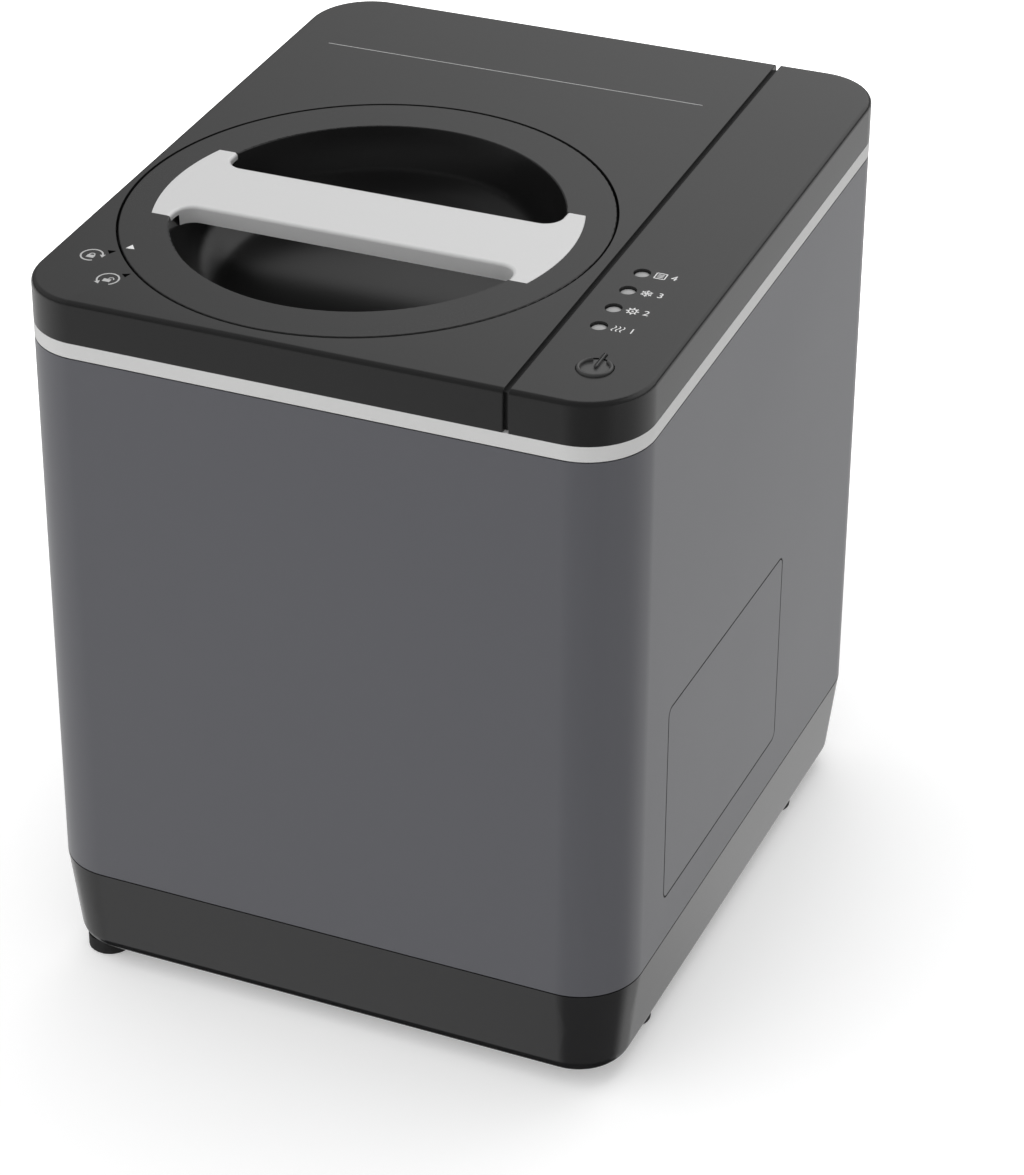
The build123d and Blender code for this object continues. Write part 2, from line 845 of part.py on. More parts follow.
left_of_groove = bar((-width, groove_left), (-depth, depth), (0, 2 * height))
right_of_groove = bar((groove_right, width), (-depth, depth), (0, 2 * height))
lug_angles = [90 + 360 / lid_lugs * index for index in range(lid_lugs)]
lug_outer = lug_wall_radius + lug_reach
tab_angles = [45, 135, 225, 315]
lug_half_angle = degrees(lug_width / 2 / lug_outer)
lug_gap_angle = degrees(lug_gap / lug_outer)
lug_way = 2 * (lug_half_angle + lug_gap_angle) + lid_twist

with BuildPart() as top_cover:
    add(cover_block.part)
    add(left_of_groove, mode=Mode.INTERSECT)
    fillet(groove_edges(top_cover.part, groove_left), groove_edge_radius)
    add(groove_tongue.part)
    add(cover_bosses(cover_points))
    add(lid_ring(ledge_radius, recess_wall, wall, ledge_bottom))
    add(lid_ring(0, opening_radius, -height, ledge_drop), mode=Mode.SUBTRACT)
    fillet(
        top_cover.edges().sort_by(lambda edge: (edge.center() - lid_plane(0).origin).length)[0],
        rim_edge_radius,
    )
    add(lid_ring(collar_radius, collar_radius + collar_wall, ledge_drop, collar_drop))
    for angle in tab_angles:
        with Locations(lid_plane(seal_drop).location):
            with PolarLocations(flange_tab_radius, 1, start_angle=angle):
                Cylinder(tab_radius, seal_drop - ledge_drop, align=standing)
    add(lid_ring(0, ledge_radius, -height, height), mode=Mode.SUBTRACT)
    for angle in lug_angles:
        add(
            sector(lid_plane(ledge_bottom + bite), ledge_radius - 2 * bite, lug_outer + lug_gap,
                   angle - lug_half_angle - lug_gap_angle, lug_way, ledge_thickness + 2 * bite),
            mode=Mode.SUBTRACT,
        )
    for angle in tab_angles:
        with Locations(lid_plane(seal_drop).location):
            with PolarLocations(flange_tab_radius, 1, start_angle=angle):
                Cylinder(screw_radius, 2 * (seal_drop - ledge_bottom), mode=Mode.SUBTRACT)
    add(boss_holes(cover_points), mode=Mode.SUBTRACT)
save(top_cover.part, "top_cover")


def button_outline(extra):
    """Outline of the power button: a disc, and a bar that reaches out of it to the rear."""
    with BuildSketch(mode=Mode.PRIVATE) as outline:
        Circle(button_radius + extra)
        with Locations((0, symbol_bar / 2)):
            SlotOverall(symbol_bar + 2 * extra, symbol_width + 2 * extra, rotation=90)
    return outline.sketch


lens_places = [(lens_x, lens_first_y + lens_pitch * index) for index in range(lens_count)]
with BuildPart() as control_strip:
    add(cover_block.part)
    add(right_of_groove, mode=Mode.INTERSECT)
    fillet(groove_edges(control_strip.part, groove_right), groove_edge_radius)
    add(cover_bosses(strip_points))
    add(boss_holes(strip_points), mode=Mode.SUBTRACT)
    for x, y in lens_places:
        add(ring(top_plane(x, y, wall + bite), 0, lens_radius, wall + 2 * bite), mode=Mode.SUBTRACT)
    with BuildSketch(top_plane(button_x, button_y, wall + bite)):
        add(button_outline(button_gap))
    extrude(amount=wall + 2 * bite, mode=Mode.SUBTRACT)
save(control_strip.part, "control_strip")

screw_reach = pad_thickness + band_floor + cover_screw_grip
with BuildPart() as cover_screws:
    head_drop = cover_height + band_height + pad_thickness
    with Locations(*[top_plane(x, y, head_drop).location for x, y in top_points]):
        add(screw(screw_reach))
save(cover_screws.part, "cover_screws")

# ================================================================ control strip details
with BuildPart() as indicator_lenses:
    for x, y in lens_places:
        add(ring(top_plane(x, y, lens_length), 0, lens_radius, lens_length - lens_recess))
        add(ring(top_plane(x, y, wall + lens_flange_height), 0, lens_radius + lens_flange, lens_flange_height))
save(indicator_lenses.part, "indicator_lenses")

board_x = (groove_right + tongue_reach + board_gap, width / 2 - screw_inset - boss_radius - board_gap / 2)
board_y = (button_y - board_front_margin, lens_places[-1][1] + board_rear_margin)
board_mid = ((board_x[0] + board_x[1]) / 2, (board_y[0] + board_y[1]) / 2)
led_foot = board_drop + board_thickness / 2
led_height = led_foot - lens_length - led_gap
with BuildPart() as panel_board:
    with BuildSketch(top_plane(board_mid[0], board_mid[1], board_drop + board_thickness)):
        RectangleRounded(board_x[1] - board_x[0], board_y[1] - board_y[0], board_corner)
    extrude(amount=board_thickness)
    for x, y in lens_places:
        add(ring(top_plane(x, y, led_foot), 0, led_radius, led_height))
save(panel_board.part, "panel_board")

stem_end = board_drop - switch_height - switch_gap
button_depth = wall + 2 * bite
with BuildPart() as power_button:
    with BuildSketch(top_plane(button_x, button_y, button_depth)):
        add(button_outline(0))
    extrude(amount=button_depth - button_sink)
    add(ring(top_plane(button_x, button_y, stem_end), 0, stem_radius, stem_end - wall))
    with BuildSketch(top_plane(button_x, button_y, button_sink)):
        Circle(button_radius)
        Circle(button_radius - symbol_width, mode=Mode.SUBTRACT)
        with Locations((0, button_radius)):
            Rectangle(symbol_gap, button_radius, mode=Mode.SUBTRACT)
        with Locations((0, symbol_bar / 2)):
            SlotOverall(symbol_bar, symbol_width, rotation=90)
    extrude(amount=symbol_height)
save(power_button.part, "power_button")

with BuildPart() as power_switch:
    with BuildSketch(top_plane(button_x, button_y, board_drop)):
        Rectangle(switch_size, switch_size)
        Circle(plunger_radius + running_gap, mode=Mode.SUBTRACT)
    extrude(amount=switch_height - button_travel)
save(power_switch.part, "power_switch")

plunger_foot = board_drop - button_travel - plunger_seat
with BuildPart() as switch_plunger:
    add(ring(top_plane(button_x, button_y, plunger_foot), 0, plunger_radius, plunger_foot - stem_end))
save(switch_plunger.part, "switch_plunger")

with BuildPart() as lid_switch:
    with BuildSketch(lid_plane(ledge_bottom)):
        with Locations((recess_wall + lid_switch_gap + lid_switch_size[0] / 2, 0)):
            Rectangle(lid_switch_size[0], lid_switch_size[1])
    extrude(amount=lid_switch_size[2])
save(lid_switch.part, "lid_switch")

# ================================================================ lid
lug_wall_inner = lug_wall_radius - lug_wall_thickness
pivot_boss_drop = plate_drop - plate_thickness - pivot_end_gap
handle_screw_ring = (dish_radius + dish_wall + flange_radius) / 2
handle_screw_angles = [
    side + end * handle_screw_angle
    for side in (0, 180)
    for end in (1, -1)
]


def handle_screw_places(drop):
    """Places of the handle's screws on a plane below the lid's face."""
    ring_places = [
        Pos(handle_screw_ring * cos(radians(angle)), handle_screw_ring * sin(radians(angle)), 0)
        for angle in handle_screw_angles
    ]
    return [lid_plane(drop).location * place for place in ring_places]


with BuildPart() as lid_shell:
    add(lid_ring(0, lid_radius, 0, lid_ring_thickness))
    fillet(lid_shell.edges().sort_by(Axis((0, 0, 0), slope_normal))[-1], lid_edge_radius)
    add(lid_ring(lid_radius - wall, lid_radius, lid_ring_thickness, lid_skirt_depth))
    add(lid_ring(lug_wall_inner, lug_wall_radius, lid_ring_thickness, lug_wall_drop))
    add(bowl(dish_radius + dish_wall, dish_foot + dish_wall, dish_depth + dish_wall, dish_bend + dish_wall))
    add(bowl(dish_radius, dish_foot, dish_depth, dish_bend), mode=Mode.SUBTRACT)
    fillet(
        lid_shell.edges().sort_by(lambda edge: abs(edge.length - 2 * pi * dish_radius))[0],
        dish_edge_radius,
    )
    add(lid_ring(0, pivot_boss_radius, dish_depth + bite, pivot_boss_drop))
    add(lid_ring(0, pivot_radius, dish_depth + dish_wall, pivot_boss_drop), mode=Mode.SUBTRACT)
    for angle in lug_angles:
        add(sector(lid_plane(lug_wall_drop), lug_wall_radius - bite, lug_outer,
                   angle - lug_half_angle, 2 * lug_half_angle, lug_height))
    with BuildSketch(lid_plane(flange_thickness)):
        Circle(flange_radius + pocket_gap)
        Rectangle(2 * lid_radius, 2 * (flange_half_width + pocket_gap), mode=Mode.INTERSECT)
    extrude(amount=flange_thickness + bite, mode=Mode.SUBTRACT)
    with Locations(*handle_screw_places(lid_ring_thickness)):
        Cylinder(handle_screw_radius + handle_screw_clearance, 2 * lid_ring_thickness, mode=Mode.SUBTRACT)
save(lid_shell.part, "lid_shell")

notch_middle = bar_half_width + flange_half_width
notch_length = 2 * sqrt(dish_radius**2 - flange_half_width**2)
with BuildSketch(mode=Mode.PRIVATE) as finger_notches:
    with Locations((0, notch_middle), (0, -notch_middle)):
        RectangleRounded(notch_length, 2 * flange_half_width, notch_radius)

with BuildPart() as lid_handle:
    with BuildSketch(lid_plane(flange_thickness)):
        Circle(flange_radius)
        Rectangle(2 * lid_radius, 2 * flange_half_width, mode=Mode.INTERSECT)
        add(finger_notches.sketch, mode=Mode.SUBTRACT)
    extrude(amount=flange_thickness)
    bar_end = dish_radius - dish_slant * bar_thickness / dish_depth - bar_end_gap
    with BuildSketch(lid_plane(bar_thickness)):
        Circle(bar_end)
        add(finger_notches.sketch, mode=Mode.SUBTRACT)
    extrude(amount=bar_thickness - flange_thickness)
    top_edges = lid_handle.faces().sort_by(Axis((0, 0, 0), slope_normal))[-1].edges()
    inner_edges = top_edges.filter_by(
        lambda edge: (edge.center() - lid_plane(0).origin).length < dish_radius - bite
    )
    fillet(inner_edges, bar_edge_radius)
    with Locations(*handle_screw_places(flange_thickness)):
        Cylinder(handle_screw_radius, 2 * (flange_thickness - bite), mode=Mode.SUBTRACT)
save(lid_handle.part, "lid_handle")

with BuildPart() as handle_screws:
    with Locations(*handle_screw_places(lid_ring_thickness)):
        Cylinder(handle_screw_radius, lid_ring_thickness - bite - screw_clearance, align=standing)
        Cylinder(handle_screw_head_radius, handle_screw_head_height, align=hanging)
save(handle_screws.part, "handle_screws")

with BuildPart() as lid_magnet:
    with Locations(lid_plane(lid_ring_thickness).location):
        with Locations(((lug_wall_radius + lid_radius - wall) / 2, 0)):
            Cylinder(magnet_radius, magnet_height, align=hanging)
save(lid_magnet.part, "lid_magnet")

with BuildPart() as lid_inner_plate:
    add(lid_ring(plate_radius - plate_thickness, plate_flange_radius, plate_flange_drop,
                 plate_flange_drop + plate_thickness))
    add(lid_ring(plate_radius - plate_thickness, plate_radius, plate_flange_drop + bite, plate_drop))
    add(lid_ring(pivot_radius + running_gap, plate_radius, plate_drop - plate_thickness, plate_drop))
save(lid_inner_plate.part, "lid_inner_plate")

with BuildPart() as lid_pivot:
    add(lid_ring(0, pivot_radius, dish_depth + dish_wall, plate_drop + face_gap))
    add(lid_ring(0, pivot_head_radius, plate_drop + face_gap, plate_drop + face_gap + pivot_head_height))
save(lid_pivot.part, "lid_pivot")

with BuildPart() as lid_seal:
    add(lid_ring(seal_inner_radius, plate_flange_radius - seal_inset, plate_flange_drop + plate_thickness,
                 seal_drop - face_gap))
save(lid_seal.part, "lid_seal")

# ================================================================ well, gasket, heater
well_top_radius = collar_radius + collar_wall
key_angles = [90, 210, 330]
with BuildPart() as well:
    with BuildSketch(Plane((bucket_x, bucket_y, well_floor_z))):
        Circle(well_radius + well_wall)
    extrude(amount=height)
    split(bisect_by=lid_plane(seal_drop + bite), keep=Keep.BOTTOM)
    add(lid_ring(0, well_top_radius, seal_drop, seal_drop + well_wall))
    for angle in tab_angles:
        with Locations(lid_plane(seal_drop).location):
            with PolarLocations(flange_tab_radius - tab_radius / 2, 1, start_angle=angle):
                Box(tab_length, tab_width, well_wall, align=hanging)
    add(bucket_ring(0, well_radius, well_floor_z + well_wall, 2 * height), mode=Mode.SUBTRACT)
    for angle in key_angles:
        with Locations(Location((bucket_x, bucket_y, well_floor_z + well_wall))):
            with PolarLocations(foot_ring_radius, 1, start_angle=angle):
                Box(foot_ring_width, key_width, key_height, align=standing)
    for angle in tab_angles:
        with Locations(lid_plane(seal_drop).location):
            with PolarLocations(flange_tab_radius, 1, start_angle=angle):
                Cylinder(screw_radius + screw_clearance, 4 * well_wall, mode=Mode.SUBTRACT)
    add(bucket_ring(0, bearing_radius, well_floor_z - bite, well_floor_z + well_wall + bite),
        mode=Mode.SUBTRACT)
    with Locations(Location((bucket_x + well_radius, bucket_y, duct_z), (0, 90, 0))):
        Cylinder(duct_radius, 8 * well_wall, mode=Mode.SUBTRACT)
save(well.part, "well")

with BuildPart() as well_gasket:
    add(lid_ring(collar_radius - gasket_reach, well_top_radius - screw_clearance, collar_drop, seal_drop))
save(well_gasket.part, "well_gasket")

with BuildPart() as well_screws:
    for angle in tab_angles:
        with Locations(lid_plane(seal_drop + well_wall).location):
            with PolarLocations(flange_tab_radius, 1, start_angle=angle):
                add(screw(well_wall + tab_screw_length))
save(well_screws.part, "well_screws")

heater_outer_radius = well_radius - heater_inset
heater_middle = (heater_inner_radius + heater_outer_radius) / 2
with BuildPart() as heater_plate:
    add(bucket_ring(heater_inner_radius, heater_outer_radius, well_floor_z - heater_thickness, well_floor_z))
save(heater_plate.part, "heater_plate")

with BuildPart() as thermostat:
    with Locations((bucket_x - heater_middle, bucket_y, well_floor_z - heater_thickness)):
        Cylinder(thermostat_radius, thermostat_height, align=hanging)
save(thermostat.part, "thermostat")

well_post_ring = well_radius - post_radius - well_post_gap
well_post_points = [
    (bucket_x + well_post_ring * cos(radians(angle)), bucket_y + well_post_ring * sin(radians(angle)))
    for angle in tab_angles
]
seal_low = well_floor_z - seal_lip
seal_high = well_floor_z + well_wall + seal_lip
with BuildPart() as spindle_seal:
    add(bucket_ring(spindle_radius + running_gap, bearing_radius, seal_low, seal_high))
save(spindle_seal.part, "spindle_seal")

# ================================================================ drive



def tooth(teeth):
    """One gear tooth on the +X axis, its flanks through three points of the involute."""
    pitch = gear_module * teeth / 2
    base = pitch * cos(radians(gear_pressure_angle))
    tip = pitch + gear_module
    root = pitch - gear_root * gear_module
    half_angle = (pi * gear_module / 2 - gear_backlash) / 2 / pitch
    spread = tan(radians(gear_pressure_angle)) - radians(gear_pressure_angle)

    def flank(radius, side):
        """Point of the involute at a radius."""
        roll = sqrt(max(radius / base, 1.0) ** 2 - 1)
        angle = side * (half_angle + spread - (roll - atan2(roll, 1)))
        return (radius * cos(angle), radius * sin(angle))

    def inner(radius, side):
        """Point under the involute, straight in towards the centre."""
        x, y = flank(base, side)
        return (x * radius / base, y * radius / base)

    start = max(base, root)
    middle = (start + tip) / 2
    foot = root - gear_backlash
    with BuildSketch(mode=Mode.PRIVATE) as shape:
        with BuildLine():
            ThreePointArc(flank(start, -1), flank(middle, -1), flank(tip, -1))
            Line(flank(tip, -1), flank(tip, 1))
            ThreePointArc(flank(tip, 1), flank(middle, 1), flank(start, 1))
            Polyline(flank(start, 1), inner(foot, 1), inner(foot, -1), flank(start, -1))
        make_face()
    return shape.sketch


def gear(teeth, bore, plane, turn):
    """Spur gear that stands on a plane, turned by an angle in degrees."""
    one_tooth = tooth(teeth)
    with BuildPart(mode=Mode.PRIVATE) as wheel:
        with BuildSketch(plane):
            Circle(gear_module * teeth / 2 - gear_root * gear_module)
            with PolarLocations(0, teeth, start_angle=turn):
                add(one_tooth)
            if bore:
                Circle(bore, mode=Mode.SUBTRACT)
        extrude(amount=gear_width)
    return wheel.part


gear_z = gearbox_floor_z + gearbox_wall + gearbox_gap / 2
gear_plane = Plane((bucket_x, bucket_y, gear_z))
pinion_plane = Plane((bucket_x, motor_y, gear_z))
with BuildPart() as spindle_gear:
    add(gear(gear_teeth, spindle_radius, gear_plane, 90))
    with BuildSketch(Plane((bucket_x, bucket_y, gear_z + gear_width / 4))):
        with PolarLocations(gear_hole_place, gear_spokes):
            Circle(gear_hole_radius)
    extrude(amount=gear_width, mode=Mode.SUBTRACT)
save(spindle_gear.part, "spindle_gear")

spindle_low = gearbox_floor_z - bearing_height + gearbox_wall
shaft_bottom = bucket_floor_z - spindle_step_gap
spindle_step = shaft_bottom - shaft_end_gap
with BuildPart() as spindle:
    add(bucket_ring(0, spindle_radius, spindle_low, spindle_step))
    with BuildSketch(Plane((bucket_x, bucket_y, spindle_step))):
        RegularPolygon(hex_radius, 6)
    extrude(amount=hex_length)
save(spindle.part, "spindle")

with BuildPart() as motor_pinion:
    add(gear(pinion_teeth, 0, pinion_plane, -90 + 180 / pinion_teeth))
    with BuildSketch(Plane((bucket_x, motor_y, gearbox_floor_z - motor_shaft_depth))):
        Circle(motor_shaft_radius)
    extrude(amount=motor_shaft_depth + gear_z - gearbox_floor_z + bite)
save(motor_pinion.part, "motor_pinion")

gear_room = pitch_radius + gear_module + gear_side_room
pinion_room = pinion_pitch_radius + gear_module + gear_side_room
gearbox_post_ring = gear_room - gearbox_post_inset


def gearbox_outline(extra):
    """Outline round both gears."""
    with BuildSketch(mode=Mode.PRIVATE) as outline:
        with Locations((bucket_x, bucket_y)):
            Circle(gear_room + extra)
        with Locations((bucket_x, motor_y)):
            Circle(pinion_room + extra)
        make_hull()
    return outline.sketch


gearbox_outer = gearbox_outline(gearbox_wall)
gearbox_inner = gearbox_outline(0)
gearbox_post_points = [
    (bucket_x + gearbox_post_ring * cos(radians(angle)), bucket_y + gearbox_post_ring * sin(radians(angle)))
    for angle in (0, 180, 240, 300)
]
with BuildPart() as gearbox_base:
    with BuildSketch(Plane.XY.offset(gearbox_floor_z)):
        add(gearbox_outer)
    extrude(amount=gearbox_height)
    with BuildSketch(Plane.XY.offset(gearbox_floor_z + gearbox_wall)):
        add(gearbox_inner)
    extrude(amount=gearbox_height, mode=Mode.SUBTRACT)
    add(bucket_ring(0, bearing_radius + gearbox_wall, spindle_low, gearbox_floor_z))
    add(bucket_ring(0, bearing_radius, spindle_low - bite, gear_z), mode=Mode.SUBTRACT)
    with BuildSketch(Plane((bucket_x, motor_y, gearbox_floor_z - bite))):
        Circle(motor_shaft_radius + motor_shaft_clearance)
    extrude(amount=gearbox_wall + 2 * bite, mode=Mode.SUBTRACT)
save(gearbox_base.part, "gearbox_base")

with BuildPart() as gearbox_lid:
    with BuildSketch(Plane.XY.offset(gearbox_top)):
        add(gearbox_outer)
    extrude(amount=gearbox_wall)
    add(bucket_ring(0, bearing_radius + gearbox_wall, gearbox_top, upper_bearing_top))
    add(bucket_ring(0, bearing_radius, gearbox_top - bite, upper_bearing_top + bite), mode=Mode.SUBTRACT)
save(gearbox_lid.part, "gearbox_lid")

with BuildPart() as spindle_bearings:
    for low in (spindle_low, gearbox_top):
        add(bucket_ring(spindle_radius + running_gap, bearing_radius, low, low + bearing_height))
save(spindle_bearings.part, "spindle_bearings")

with BuildPart() as frame_posts:
    with BuildSketch(Plane.XY.offset(chassis_top)):
        with Locations(*well_post_points):
            Circle(post_radius)
    extrude(amount=well_floor_z - chassis_top)
    with BuildSketch(Plane.XY.offset(chassis_top)):
        with Locations(*gearbox_post_points):
            Circle(post_radius)
    extrude(amount=gearbox_floor_z - chassis_top)
save(frame_posts.part, "frame_posts")

motor_low = gearbox_floor_z - motor_length
with BuildPart() as motor:
    with BuildSketch(Plane((bucket_x, motor_y, motor_low))):
        Circle(motor_radius)
    extrude(amount=motor_length)
    chamfer(motor.edges().sort_by(Axis.Z)[0], motor_chamfer)
    with BuildSketch(Plane((bucket_x, motor_y, motor_low + motor_band_low))):
        Circle(motor_radius + motor_band_reach)
        Circle(motor_radius - motor_band_bite, mode=Mode.SUBTRACT)
    extrude(amount=motor_band_height)
    with BuildSketch(Plane((bucket_x, motor_y, gearbox_floor_z - motor_shaft_depth - bite))):
        Circle(motor_shaft_radius + running_gap)
    extrude(amount=motor_shaft_depth + 2 * bite, mode=Mode.SUBTRACT)
save(motor.part, "motor")

# ================================================================ bucket, grinder, bail
bucket_inside = bucket_floor_z + bucket_floor
bush_top = bucket_floor_z + bush_height
key_slot = bucket_foot + well_wall - key_gap
blade_z = bucket_inside + fixed_blade_lift
blade_angles = [40, 220]
fixed_blade_start = hub_radius + fixed_blade_gap
fixed_blade_reach = bucket_radius - bucket_wall / 2 - fixed_blade_start
fixed_blade_middle = fixed_blade_start + fixed_blade_reach / 2
with BuildPart(mode=Mode.PRIVATE) as bucket_hollow:
    add(bucket_ring(0, bucket_radius - bucket_wall, bucket_inside, height))
    fillet(bucket_hollow.edges().sort_by(Axis.Z)[0], bucket_inner_fillet)

with BuildPart() as bucket:
    add(bucket_ring(0, bucket_radius, bucket_floor_z, bucket_rim_z))
    fillet(bucket.edges().sort_by(Axis.Z)[0], bucket_outer_fillet)
    add(bucket_ring(0, rim_radius, bucket_rim_z - rim_height, bucket_rim_z))
    with Locations(Location((bucket_x, bucket_y, ear_z), (0, 90, 0))):
        Cylinder(ear_radius, 2 * ear_reach)
    add(bucket_ring(foot_ring_radius - foot_ring_width / 2, foot_ring_radius + foot_ring_width / 2,
                    well_floor_z + well_wall, bucket_floor_z + bite))
    add(bucket_hollow.part, mode=Mode.SUBTRACT)
    add(bucket_ring(0, bush_radius + bush_wall, bucket_floor_z, bush_top))
    add(bucket_ring(0, bush_radius, bucket_floor_z - bite, bush_top + bite), mode=Mode.SUBTRACT)
    for angle in blade_angles:
        with Locations(Location((bucket_x, bucket_y, blade_z))):
            with PolarLocations(fixed_blade_middle, 1, start_angle=angle):
                Box(fixed_blade_reach, fixed_blade_width, fixed_blade_height, align=standing)
    with Locations(Location((bucket_x, bucket_y, ear_z), (0, 90, 0))):
        Cylinder(bail_wire + running_gap, 2 * (ear_reach + bite), mode=Mode.SUBTRACT)
    for angle in key_angles:
        with Locations(Location((bucket_x, bucket_y, well_floor_z))):
            with PolarLocations(foot_ring_radius, 1, start_angle=angle):
                Box(3 * foot_ring_width, key_width + 2 * key_gap, key_slot,
                    align=standing, mode=Mode.SUBTRACT)
save(bucket.part, "bucket")

with BuildPart() as bucket_bush:
    add(bucket_ring(shaft_radius + running_gap, bush_radius, bucket_floor_z, bush_top))
save(bucket_bush.part, "bucket_bush")

pin_inner = bucket_radius - bucket_wall + bail_pin_gap
bail_plane = Plane((bucket_x, bucket_y, ear_z))
with BuildPart() as bucket_bail:
    with BuildSketch(Plane(origin=bail_plane.origin, x_dir=(1, 0, 0), z_dir=(0, -1, 0))):
        with Locations((bail_radius, 0)):
            Circle(bail_wire)
    revolve(axis=Axis(bail_plane.origin, (0, 0, -1)), revolution_arc=180)
    for side in (-1, 1):
        pin_x = bucket_x + side * (pin_inner + bail_radius) / 2
        with Locations((bucket_x + side * bail_radius, bucket_y, ear_z)):
            Sphere(bail_knuckle)
        with Locations(Location((pin_x, bucket_y, ear_z), (0, 90, 0))):
            Cylinder(bail_wire, bail_radius - pin_inner)
save(bucket_bail.part, "bucket_bail")

grip_start = Plane(
    origin=bail_plane.origin,
    x_dir=(cos(radians(-90 + grip_angle / 2)), sin(radians(-90 + grip_angle / 2)), 0),
    z_dir=(sin(radians(-90 + grip_angle / 2)), -cos(radians(-90 + grip_angle / 2)), 0),
)
with BuildPart() as bail_grip:
    with BuildSketch(grip_start):
        with Locations((bail_radius, 0)):
            Circle(grip_radius)
            Circle(bail_wire, mode=Mode.SUBTRACT)
    revolve(axis=Axis(bail_plane.origin, (0, 0, -1)), revolution_arc=grip_angle)
save(bail_grip.part, "bail_grip")

arm_reach = bucket_radius - bucket_wall - arm_gap
upper_arm_reach = arm_reach - arm_step
arm_z = bucket_inside + arm_lift
upper_arm_z = blade_z + fixed_blade_height + arm_clearance
hub_top = upper_arm_z + arm_height + hub_crown
hub_low = bush_top + pivot_end_gap
hex_top = spindle_step + hex_length + hex_end_gap


def arm(reach, z, angle):
    """Grinder arm: narrows outwards and leans back from the way it turns."""
    lean = arm_width / 2
    root = hub_radius - arm_root
    along = (cos(radians(angle)), sin(radians(angle)), 0)
    with BuildPart(mode=Mode.PRIVATE) as blade:
        with BuildSketch(Plane(origin=(bucket_x, bucket_y, z), x_dir=along, z_dir=(0, 0, 1))):
            with BuildLine():
                Polyline(
                    (root, -arm_width / 2),
                    (reach, -arm_width / 2 - lean),
                    (reach, -lean),
                    (root, arm_width / 2),
                    close=True,
                )
            make_face()
        extrude(amount=arm_height)
        chamfer(blade.edges().filter_by(Axis.Z, reverse=True).sort_by(Axis.Z)[-2], arm_chamfer)
    return blade.part


with BuildPart() as grinder_arm:
    add(bucket_ring(0, shaft_radius, shaft_bottom, hub_low + bite))
    add(bucket_ring(0, hub_radius, hub_low, hub_top))
    fillet(grinder_arm.edges().sort_by(Axis.Z)[-1], hub_crown)
    add(bucket_ring(bush_radius + bush_wall + hub_gap, hub_radius, arm_z, hub_low + bite))
    for angle in (10, 190):
        add(arm(arm_reach, arm_z, angle))
    for angle in (100, 280):
        add(arm(upper_arm_reach, upper_arm_z, angle))
    with BuildSketch(Plane((bucket_x, bucket_y, shaft_bottom - bite))):
        RegularPolygon(hex_radius + hex_gap, 6)
    extrude(amount=hex_top - shaft_bottom + bite, mode=Mode.SUBTRACT)
save(grinder_arm.part, "grinder_arm")

# ================================================================ filters, hatch, ducts
filter_ys = [filter_mid_y - filter_pitch / 2, filter_mid_y + filter_pitch / 2]
duct_x = housing_back + duct_setback
housing_mid_y = (housing_front + housing_rear) / 2
housing_plane = Plane(origin=(housing_mouth, housing_mid_y, filter_z), x_dir=(0, 1, 0), z_dir=(1, 0, 0))
housing_wide = housing_rear - housing_front
housing_tall = housing_top - housing_bottom
with BuildPart() as filter_housing:
    with BuildSketch(housing_plane):
        RectangleRounded(housing_wide, housing_tall, hatch_corner)
    extrude(amount=-filter_depth)
    with BuildSketch(housing_plane.offset(-filter_wall)):
        RectangleRounded(housing_wide - 2 * filter_wall, housing_tall - 2 * filter_wall, hatch_corner - bite)
    extrude(amount=-(filter_depth - 2 * filter_wall), mode=Mode.SUBTRACT)
    with BuildSketch(housing_plane):
        with Locations(*[(y - housing_mid_y, 0) for y in filter_ys]):
            Circle(sleeve_outer)
    extrude(amount=-(filter_depth - filter_wall - sleeve_stop))
    with BuildSketch(housing_plane):
        with Locations(*[(y - housing_mid_y, 0) for y in filter_ys]):
            Circle(sleeve_radius)
    extrude(amount=-(filter_depth - filter_wall), mode=Mode.SUBTRACT)
    with Locations((duct_x, bucket_y, housing_top)):
        Cylinder(duct_radius, 4 * filter_wall, mode=Mode.SUBTRACT)
    with Locations(Location((duct_x, housing_rear, filter_z), (90, 0, 0))):
        Cylinder(exhaust_hole - duct_wall, 4 * filter_wall, mode=Mode.SUBTRACT)
save(filter_housing.part, "filter_housing")

filter_start = housing_mouth - filter_inset
for name, y in (("filter_front", filter_ys[0]), ("filter_rear", filter_ys[1])):
    filter_plane = Plane(origin=(filter_start, y, filter_z), x_dir=(0, 1, 0), z_dir=(1, 0, 0))
    with BuildPart() as cartridge:
        with BuildSketch(filter_plane):
            Circle(filter_radius)
        extrude(amount=-filter_length)
        with BuildSketch(filter_plane.offset(-filter_length)):
            Circle(filter_bore)
        extrude(amount=filter_length - filter_end, mode=Mode.SUBTRACT)
        with BuildSketch(filter_plane):
            Circle(filter_bore)
            Rectangle(2 * filter_bore, filter_pull_width, mode=Mode.SUBTRACT)
        extrude(amount=-filter_pull_depth, mode=Mode.SUBTRACT)
        with BuildSketch(filter_plane.offset(-(filter_length + filter_band_width) / 2)):
            Circle(filter_radius + bite)
            Circle(filter_radius - filter_band_depth, mode=Mode.SUBTRACT)
        extrude(amount=filter_band_width, mode=Mode.SUBTRACT)
    save(cartridge.part, name)



def hatch_rim():
    """Outline of the rim inside the hatch, and of its gasket."""
    with BuildSketch(mode=Mode.PRIVATE) as rim:
        RectangleRounded(hatch_length - 2 * hatch_rim_inset, hatch_height - 2 * hatch_rim_inset, hatch_corner)
        RectangleRounded(
            hatch_length - 2 * (hatch_rim_inset + hatch_rim_width),
            hatch_height - 2 * (hatch_rim_inset + hatch_rim_width),
            hatch_rim_corner,
            mode=Mode.SUBTRACT,
        )
    return rim.sketch


